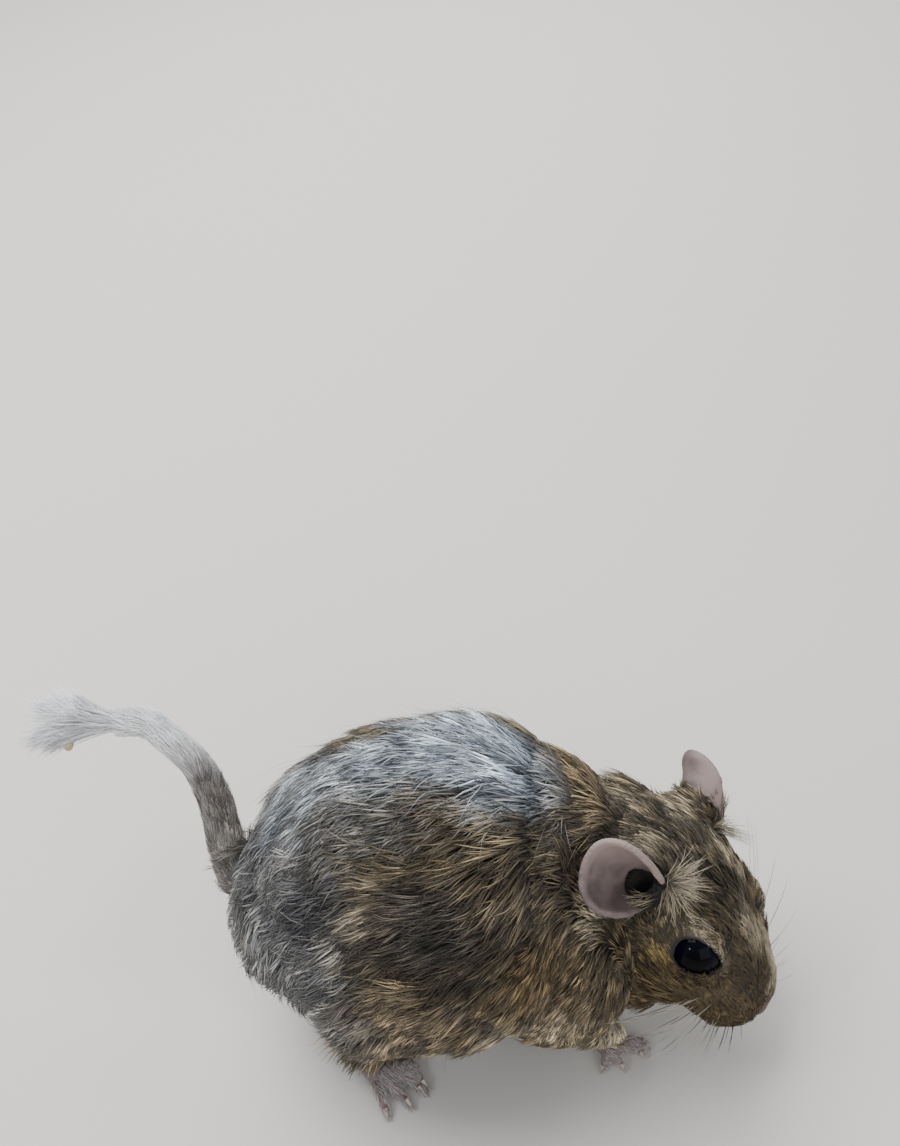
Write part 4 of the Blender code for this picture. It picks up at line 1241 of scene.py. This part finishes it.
def skin_material(coat, wrinkle):
    """Skin: undercoat where tufts stand, mauve ears, grey-pink feet, nose and lids, ringed tail."""
    made, tree, shader = new_material("skin", 0.6, 0.4)
    place = object_place(tree)
    under = group_in(tree, markings_group(coat), Place=place).outputs[0]
    under = blend_colour(tree, 1.0, under, (0.42, 0.42, 0.42), "MULTIPLY")
    grain = group_in(tree, grain_group(), Place=place, Size=3600.0)
    mottle = grain.outputs["Mottle"]
    ear, foot, tail, lid = (
        blend_colour(tree, mottle, *SHADES[name]) for name in ("ear", "foot", "tail", "lid"))
    colour = blend_colour(tree, mapped(tree, stored(tree, "tail"), 0.3, 0.7, 0, 1), under, tail)
    colour = blend_colour(tree, mapped(tree, stored(tree, "foot"), 0.3, 0.7, 0, 1), colour, foot)
    head = place_in_frame(tree, place, SHIFT + NOSE_AT, HEAD_TURN)
    height = node_in(tree, "SeparateXYZ", Vector=head).outputs["Z"]
    ear = blend_colour(tree, mapped(tree, height, 8.5, 15.0, 0.0, 0.80), ear, EAR_TIP)
    ear = blend_colour(tree, mapped(tree, height, 10.0, 4.0, 0.0, 0.8), ear, EAR_ROOT)
    colour = blend_colour(tree, mapped(tree, stored(tree, "ear"), 0.2, 0.7, 0, 1), colour, ear)
    colour = blend_colour(tree, stored(tree, "lid"), colour, lid)
    for name, side in SIDES.items():
        # Painted shade: each ear's canal is darkened to near black, standing in for the shade inside it.
        away = vectors(tree, "DISTANCE", head, tuple(canal_at(name, side)))
        share = mapped(tree, away, CANAL_RADIUS, 3.5, 0.0, 1.0)
        colour = blend_colour(tree, share, colour, CANAL_SHADE)
        # Painted shade: each nostril's inside is darkened, standing in for the shade in the hollow.
        nostril = (NOSTRIL_SHADE_AT[0], NOSTRIL_SHADE_AT[1] * side, NOSTRIL_SHADE_AT[2])
        away = vectors(tree, "DISTANCE", head, nostril)
        colour = blend_colour(tree, mapped(tree, away, 1.15, 0.6, 0.0, 0.95), colour, NOSTRIL_SHADE)
    stump = tuple((Vector(TAIL_PATH[-1]) + STUMP_WAY * 3.4) * MM + SHIFT)
    away = vectors(tree, "DISTANCE", place, stump)
    bone = blend_colour(tree, mottle, *SHADES["bone"])
    colour = blend_colour(tree, mapped(tree, away, 0.0045, 0.0030, 0.0, 1.0), colour, bone)
    tree.links.new(colour, shader.inputs["Base Color"])
    bump = node_in(tree, "Bump", Strength=0.35, Distance=wrinkle, Height=grain.outputs["Height"])
    tree.links.new(bump.outputs[0], shader.inputs["Normal"])
    tree.links.new(mapped(tree, mottle, 0.0, 1.0, 0.48, 0.68), shader.inputs["Roughness"])
    return made


class DEGU_OT_skin(bpy.types.Operator):
    """Builds the one continuous skin over the flesh"""
    bl_idname = "degu.skin"
    bl_label = "Skin"

    def execute(self, context):
        settings = context.scene.degu_skin
        skin = build_skin(settings)
        skin.data.materials.append(skin_material(context.scene.degu_coat, settings.wrinkle))
        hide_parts(*FLESH, "tail_stump")
        fitted(skin)
        SKIN["faces"] = skin_faces()
        return {"FINISHED"}


def trunk_density(points, values):
    """How densely tufts grow on trunk, neck and legs, with an overlap into the head's."""
    far = ramp(head_places(points)[:, 0], -40, -44)
    body = np.where(values["wide"] > TRUNK_WIDE, 1, far)
    return values["dense"] * body * (values["foot"] < MASKED) * (values["tail"] < MASKED)


def head_density(points, values):
    """How densely tufts grow on the head."""
    near = (head_places(points)[:, 0] > -52) * (body_places(points)[:, 2] > 9)
    furry = (values["foot"] < MASKED) * (values["tail"] < MASKED)
    return values["dense"] * (values["wide"] <= HEAD_WIDE) * furry * near


def foot_density(points, values):
    """How densely tufts grow on the feet: none under the soles."""
    return 3.0 * (values["foot"] > MASKED) * ramp(body_places(points)[:, 2], 0.5, 1.6)


def tail_density(points, values):
    """Where the tail's short hair grows."""
    along = body_places(points)[:, 0]
    return (values["tail"] > 0.5) * (along > TAIL_HAIR_SPAN[0]) * (along < TAIL_HAIR_SPAN[1])


def back_density(points, values):
    """How densely guard hairs stand: most along the back."""
    height = body_places(points)[:, 2]
    return (values["wide"] > BACK_WIDE) * (0.25 + ramp(height, 40, 62))


class DEGU_OT_coat(bpy.types.Operator):
    """Grows the tufts of the trunk, neck and legs, then the head's"""
    bl_idname = "degu.coat"
    bl_label = "Coat"

    def execute(self, context):
        coat = context.scene.degu_coat
        material = coat_material(coat)
        trunk = scatter(coat.trunk_tufts, 31, trunk_density)
        head = scatter(coat.head_tufts, 32, head_density)
        for roots, order, names, unroll, how in (
                (trunk, unwrap(trunk.at)[0], TRUNK_PIECES, unwrap,
                 {"share": 15, "pull": coat.pull, "sag": 0.84}),
                (head, head_places(head.at)[:, 1], HEAD_PIECES, head_unwrap,
                 {"share": 9, "pull": coat.pull * 0.8, "sag": 0.72})):
            for name, chosen in zip(names, np.array_split(np.argsort(order), len(names))):
                grow(name, roots.subset(chosen), material, "coat", unroll, **how)
        return {"FINISHED"}


class DEGU_OT_extremities(bpy.types.Operator):
    """Grows the short hair of the feet and tail and the claws"""
    bl_idname = "degu.extremities"
    bl_label = "Feet, claws and tail hair"

    def execute(self, context):
        count = context.scene.degu_coat.foot_tufts
        pale = plain_hair("foot hair", *SHADES["foot hair"])
        roots = scatter(count * 6 // 10, 33, foot_density)
        grow("coat_feet", roots, pale, "foot", unwrap, share=6, pull=0.2)
        material = tail_material(context.scene.degu_tail)
        roots = scatter(count * 4 // 10, 34, tail_density)
        for name, value in TAIL_HAIR.items():
            roots.values[name][:] = value
        grow("tail_hair", roots, material, "tail_coat", unwrap, share=8, pull=0.2)
        claws(context.scene.degu_face)
        return {"FINISHED"}


def tail_material(settings):
    """Short hair of the tail: grey-brown near the body, white further out."""
    made, tree, shader = new_material("tail hair", 0.5, 0.4)
    root = stored(tree, "root", "Vector")
    away = vectors(tree, "DISTANCE", root, tuple(Vector(TAIL_PATH[1]) * MM + SHIFT))
    noise = noise_in(tree, root, 400.0)
    away = sums(tree, "MULTIPLY_ADD", noise, 0.008, away)
    grey = blend_colour(tree, mapped(tree, noise, 0.4, 0.6, 0, 1), *SHADES["tail hair"])
    colour = blend_colour(tree, mapped(tree, away, 0.023, 0.035, 0.0, 1.0), grey, tuple(settings.white))
    level = mapped(tree, stored(tree, "tint"), 0.0, 1.0, 0.7, 1.1)
    tree.links.new(shaded(tree, colour, level), shader.inputs["Base Color"])
    return made


def claws(face):
    """Curved pale claws on every toe."""
    bm = bmesh.new()
    for name, side in SIDES.items():
        for foot in FEET:
            facing = math.radians(foot["turn"][name])
            ahead = heading_of(facing)
            inward = Vector((ahead.y, -ahead.x, 0)) * side
            base = SHIFT + Vector((*foot["heel"][name], 0)) * MM + ahead * foot["front"] * MM
            for aside, angle, long in foot["toes"]:
                way = heading_of(facing - side * math.radians(angle))
                claw_into(bm, base + inward * aside * MM, way, long, foot["claw"], face.claw)
    mesh = mesh_from(bm, "claws", outwards=True)
    mesh.materials.append(mottled("claw", 0.32, 0.5, 900.0, 3.0, 0.35, 0.65, SHADES["claw"]))
    fitted(new_object("claws", mesh))


def claw_into(bm, toe, way, long, thick, reach):
    """Adds one claw. It starts near the end of its toe, comes down to the floor and tapers to a point."""
    points, radii = [], []
    for t in shares(6):
        height = CLAW_HEIGHTS[0] * thick * (1 - t) ** 0.8 * (1 - 0.25 * t) + CLAW_HEIGHTS[1]
        at = long * (CLAW_START + reach * t)
        points.append(toe + way * at * MM + Vector((0, 0, height)) * MM)
        radii.append((CLAW_RADII[0] * thick * (1 - t) ** 0.75 + CLAW_RADII[1]) * MM)
    tube_into(bm, points, radii, 8)


class DEGU_OT_eyes(bpy.types.Operator):
    """Builds both eyes, each a dark ball with its iris and clear bulge"""
    bl_idname = "degu.eyes"
    bl_label = "Eyes"

    def execute(self, context):
        face = context.scene.degu_face
        for name, side in SIDES.items():
            out = mirrored(EYE_OUT, side)
            turn = out.to_track_quat("Z", "X").to_matrix().to_4x4()
            place = FROM_HEAD @ Matrix.Translation(mirrored(EYE_AT, side)) @ turn
            bm = bmesh.new()
            bmesh.ops.create_uvsphere(bm, u_segments=64, v_segments=48, radius=EYE_RADIUS)
            for v in bm.verts:
                high = v.co.z / EYE_RADIUS
                v.co *= 1 + 0.02 * max(0, high - 0.55) / 0.45
            bm.transform(place)
            mesh = mesh_from(bm, "eye_ball_" + name)
            mesh.shade_smooth()
            mesh.materials.append(eye_material(name, place, face))
            ball = new_object("eye_ball_" + name, mesh)
            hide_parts("eye_" + name)
            fitted(ball)
        return {"FINISHED"}


def eye_material(name, place, face):
    """A wet dark eye: black pupil, very dark iris with fine rays, darker rim."""
    made, tree, shader = new_material("eye " + name, 0.03, 0.06)
    own = place_in_frame(tree, object_place(tree), place.translation, place.to_euler(), EYE_RADIUS)
    split = node_in(tree, "SeparateXYZ", Vector=own)
    x, y = (sums(tree, "POWER", split.outputs[k], 2.0) for k in (0, 1))
    lean = sums(tree, "ARCTAN2", sums(tree, "SQRT", sums(tree, "ADD", x, y)), split.outputs[2])
    rays = noise_in(tree, own, 9.0, 5.0)
    iris = blend_colour(tree, mapped(tree, rays, 0.35, 0.65, 0, 1), tuple(face.eye), IRIS_RAYS)
    colour = blend_colour(tree, mapped(tree, lean, 0.42, 0.50, 0.0, 1.0), PUPIL, iris)
    colour = blend_colour(tree, mapped(tree, lean, 0.85, 1.05, 0.0, 1.0), colour, IRIS_RIM)
    tree.links.new(colour, shader.inputs["Base Color"])
    return made


def strands(name, hairs, material, slot, seed, rise, curl, normals=None, share=0):
    """Strands from rows of root, heading, length and width. Where share is given, that many form a lock."""
    roots, headings, long, wide = (np.array(column, float) for column in zip(*hairs))
    headings = unit(headings)
    count = len(roots)
    draw = np.random.default_rng(seed)
    if normals is None:
        normals = np.cross(headings, unit(draw.normal(size=(count, 3))))
    shift, locks = np.zeros((count, 3)), draw.random(count)
    if share:
        shift, locks = clumps(roots, roots + headings * long[:, None], share, seed)
    thing = tuft_mesh(name, roots, unit(normals), headings, long, wide, np.full(count, rise),
                      draw.random(count), locks, limited(shift, long * 0.45), unwrap, pull=0.7, curl=curl,
                      seed=seed, sag=0.5)
    thing.data.materials.append(material)
    return fitted(thing)


class DEGU_OT_whiskers(bpy.types.Operator):
    """Sets the whiskers, the hairs in front of and inside the ears, and the guard hairs"""
    bl_idname = "degu.whiskers"
    bl_label = "Whiskers and long hairs"

    def execute(self, context):
        whiskers(context.scene.degu_face)
        ear_hairs(context.scene.degu_face)
        guard_hairs(context.scene.degu_coat)
        return {"FINISHED"}


def whiskers(face):
    """Long tapered whiskers from the pads on both sides of the muzzle, and a few over the eyes."""
    draw = np.random.default_rng(41)
    bm = bmesh.new()
    for side in SIDES.values():
        for row in range(WHISKER_ROWS):
            for column in range(WHISKER_COLUMNS):
                x, y, z = (start + ahead * column + down * row for start, ahead, down in PAD)
                root = Vector((x, y * side, z)) * MM
                way = Vector((0.62 - 0.17 * column, (0.85 + draw.uniform(-0.1, 0.1)) * side,
                              0.30 - 0.17 * row + draw.uniform(-0.12, 0.12))).normalized()
                long = face.whisker * (0.45 + 0.11 * column) * draw.uniform(0.75, 1.0)
                bend = Vector((-0.20, 0.0, -0.06 + draw.uniform(-0.08, 0.08)))
                whisker_into(bm, root, way, long, bend, WHISKER_THICK)
        for k in range(3):
            root = Vector((BROW[0] - BROW_STEP * k, BROW[1] * side, BROW[2])) * MM
            way = Vector((-0.72, 0.55 * side, 0.42)).normalized()
            whisker_into(bm, root, way, BROW_LONG * MM, Vector((-0.1, 0.1 * side, -0.15)), BROW_THICK)
    mesh = mesh_from(bm, "whiskers", outwards=True)
    mesh.shade_smooth()
    mesh.materials.append(mottled("whisker", 0.35, 0.5, 120.0, 2.0, 0.46, 0.54, SHADES["whisker"]))
    fitted(new_object("whiskers", mesh))


def whisker_into(bm, root, way, long, bend, thick):
    """Adds one tapered whisker that curves by bend, given in the head's frame."""
    points, radii = [], []
    for t in shares(8):
        at = root + (way * t + bend * t * t) * long
        points.append(FROM_HEAD @ at)
        radii.append((thick * (1 - t) ** 0.8 + 0.015) * MM)
    tube_into(bm, points, radii, 4)


def ear_hairs(face):
    """A pale fan in front of each ear, sparse hairs across its opening and fuzz along its rim."""
    draw = np.random.default_rng(42)
    hairs, normals = [], []

    def near(middle, strays):
        """A vector that strays from its middle by these amounts, where they aren't 0."""
        return Vector([at + draw.normal() * by if by else at for at, by in zip(middle, strays)])

    def add(place, way, most, wide, normal):
        """One hair in the head's frame, given for the left side, with its place and width in mm."""
        long = face.ear_hair * draw.uniform(0.6, most)
        root = FROM_HEAD @ mirrored(place * MM, side)
        hairs.append((root, HEAD_AXES @ np.array(mirrored(way, side)), long, wide * MM))
        normals.append(HEAD_AXES @ np.array(mirrored(Vector(normal), side)))

    for name, side in SIDES.items():
        centre = EAR_AT[name] / MM
        raised = Vector((0, centre.y - 15.6, 0)) * 0.5
        rim = (centre.x + 1.5, centre.y + 1.0, centre.z - 6.5)
        for _ in range(120):
            a = draw.uniform(-1.2, 1.9)
            front = near((-31.6, 10.3, 10.6), (0.6, 0.6, 0.5))
            way = Vector((math.cos(a), -0.8 * math.sin(a) + 0.25, 0.6 * math.sin(a) + 0.42))
            add(front + raised, way, 1.35, 0.14, (-0.1, 0.6, 0.8))
        for _ in range(60):
            front = near((-31.3, 13.4, 7.8), (0.6, 0.7, 0.8))
            way = near((-0.5, 0.75, -0.45), (0.15, 0.15, 0.3))
            add(front + raised, way, 1.15, 0.13, (0.3, 0.6, 0.7))
        for _ in range(60):
            low = near(rim, (1.2, 0, 0.8))
            add(low, near((-1, 0.45, -0.25), (0, 0.15, 0.25)), 1.1, 0.20, (0.1, 0.8, 0.4))
    pale = plain_hair("ear hair", *SHADES["ear hair"])
    strands("ear_hair", hairs, pale, "coat", seed=43, rise=0.18, curl=0.16, normals=np.array(normals))


def guard_hairs(coat):
    """Long thin hairs that stand over the coat of back and flanks."""
    roots = scatter(coat.guard_hairs, 35, back_density)
    for name, factor in GUARD_HAIR.items():
        roots.values[name] *= factor
    grow("guard_hair", roots, coat_material(coat), "coat", unwrap, share=40, pull=0.05, curl=0.45, sag=0.84)


class DEGU_OT_tuft(bpy.types.Operator):
    """Builds the white tuft that fans out at the tail's end"""
    bl_idname = "degu.tuft"
    bl_label = "Tail tuft"

    def execute(self, context):
        settings = context.scene.degu_tail
        draw = np.random.default_rng(51)
        line, radii = tail_line()
        hairs = []
        for _ in range(settings.strands):
            share = TUFT_START + (1 - TUFT_START) * draw.random() ** 0.85
            at = share * (len(line) - 1)
            i = min(int(at), len(line) - 2)
            point = line[i] + (line[i + 1] - line[i]) * (at - i)
            along = unit(line[i + 1] - line[max(i - 1, 0)])
            across = unit(np.cross(along, (0, 0, 1)))
            a = draw.uniform(0, 2 * math.pi)
            out = across * math.cos(a) + np.cross(across, along) * math.sin(a)
            lean = draw.uniform(0.12, 0.90) * (0.6 + 1.05 * (share - TUFT_START) / (1 - TUFT_START))
            if out @ np.array(STUMP_WAY) > STUMP_SIDE:
                lean *= 0.5
            long = settings.long * (1.02 - 0.35 * lean) * draw.uniform(0.55, 1.05)
            hairs.append((point + out * radii[i] * 0.6, along + out * lean, long, 0.24 * MM))
        white = plain_hair("white hair", TUFT_SHADE, tuple(settings.white))
        tuft = strands("tail_tuft", hairs, white, "white_hair", seed=52, rise=0.1, curl=0.10, share=40)
        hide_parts("tail_tip")
        return {"FINISHED"}


class DEGU_OT_stage(bpy.types.Operator):
    """Sets the floor, the soft lights and the picture's camera"""
    bl_idname = "degu.stage"
    bl_label = "Stage"

    def execute(self, context):
        settings = context.scene.degu_stage
        bm = bmesh.new()
        bmesh.ops.create_grid(bm, x_segments=8, y_segments=8, size=4.0)
        mesh = mesh_from(bm, "floor")
        made, tree, shader = new_material("floor", 0.75, 0.3)
        noise = noise_in(tree, object_place(tree), 9.0, 3.0)
        tone = tuple(settings.floor)
        darker = tuple(c * 0.985 for c in tone)
        tree.links.new(blend_colour(tree, noise, darker, tone), shader.inputs["Base Color"])
        mesh.materials.append(made)
        new_object("floor", mesh)
        for name, way, away, size, power in LIGHTS:
            light = bpy.data.lights.new(name, "AREA")
            light.energy = settings.key * power
            light.size = size
            lamp = bpy.data.objects.new(name, light)
            lamp.location = Vector(way).normalized() * away
            lamp.rotation_euler = lamp.location.to_track_quat("Z", "Y").to_euler()
            context.scene.collection.objects.link(lamp)
        world = bpy.data.worlds.new("air")
        world.use_nodes = True
        sky = world.node_tree.nodes["Background"]
        sky.inputs[0].default_value = (*SKY, 1)
        sky.inputs[1].default_value = settings.air
        context.scene.world = world
        lens = bpy.data.cameras.new("camera")
        lens.sensor_width = SENSOR
        lens.lens = SENSOR * CAMERA_FOCAL
        lens.clip_start = 0.01
        camera = bpy.data.objects.new("camera", lens)
        turn = Matrix((CAMERA_RIGHT, -CAMERA_DOWN, -CAMERA_AHEAD)).transposed().to_4x4()
        camera.matrix_world = Matrix.Translation(SHIFT + CAMERA_AT) @ turn
        context.scene.collection.objects.link(camera)
        context.scene.camera = camera
        return {"FINISHED"}


class DEGU_PT_panel(bpy.types.Panel):
    """Lists the degu's pieces and their settings"""
    bl_idname = "DEGU_PT_panel"
    bl_label = "Degu"
    bl_space_type = "VIEW_3D"
    bl_region_type = "UI"
    bl_category = "Degu"

    def draw(self, context):
        for group, operators in PANEL:
            box = self.layout.box()
            settings = getattr(context.scene, group)
            for name in settings.__annotations__:
                box.prop(settings, name)
            for operator in operators:
                box.operator(operator)


PANEL = [
    ("degu_skin", ["degu.skin"]), ("degu_coat", ["degu.coat", "degu.extremities"]),
    ("degu_face", ["degu.eyes", "degu.whiskers"]), ("degu_tail", ["degu.tuft"]),
    ("degu_stage", ["degu.stage"]),
]
GROUPS = {"degu_skin": DeguSkin, "degu_coat": DeguCoat, "degu_face": DeguFace, "degu_tail": DeguTail,
          "degu_stage": DeguStage}
CLASSES = (DeguSkin, DeguCoat, DeguFace, DeguTail, DeguStage, DEGU_OT_skin, DEGU_OT_coat,
           DEGU_OT_extremities, DEGU_OT_eyes, DEGU_OT_whiskers, DEGU_OT_tuft, DEGU_OT_stage, DEGU_PT_panel)


def register():
    for kind in CLASSES:
        bpy.utils.register_class(kind)
    for name, kind in GROUPS.items():
        setattr(bpy.types.Scene, name, PointerProperty(type=kind))


def unregister():
    for name in GROUPS:
        delattr(bpy.types.Scene, name)
    for kind in reversed(CLASSES):
        bpy.utils.unregister_class(kind)


def main():
    register()
    bpy.ops.degu.stage()
    bpy.ops.degu.skin()
    bpy.ops.degu.eyes()
    bpy.ops.degu.coat()
    bpy.ops.degu.extremities()
    bpy.ops.degu.tuft()
    bpy.ops.degu.whiskers()


if __name__ == "__main__":
    main()
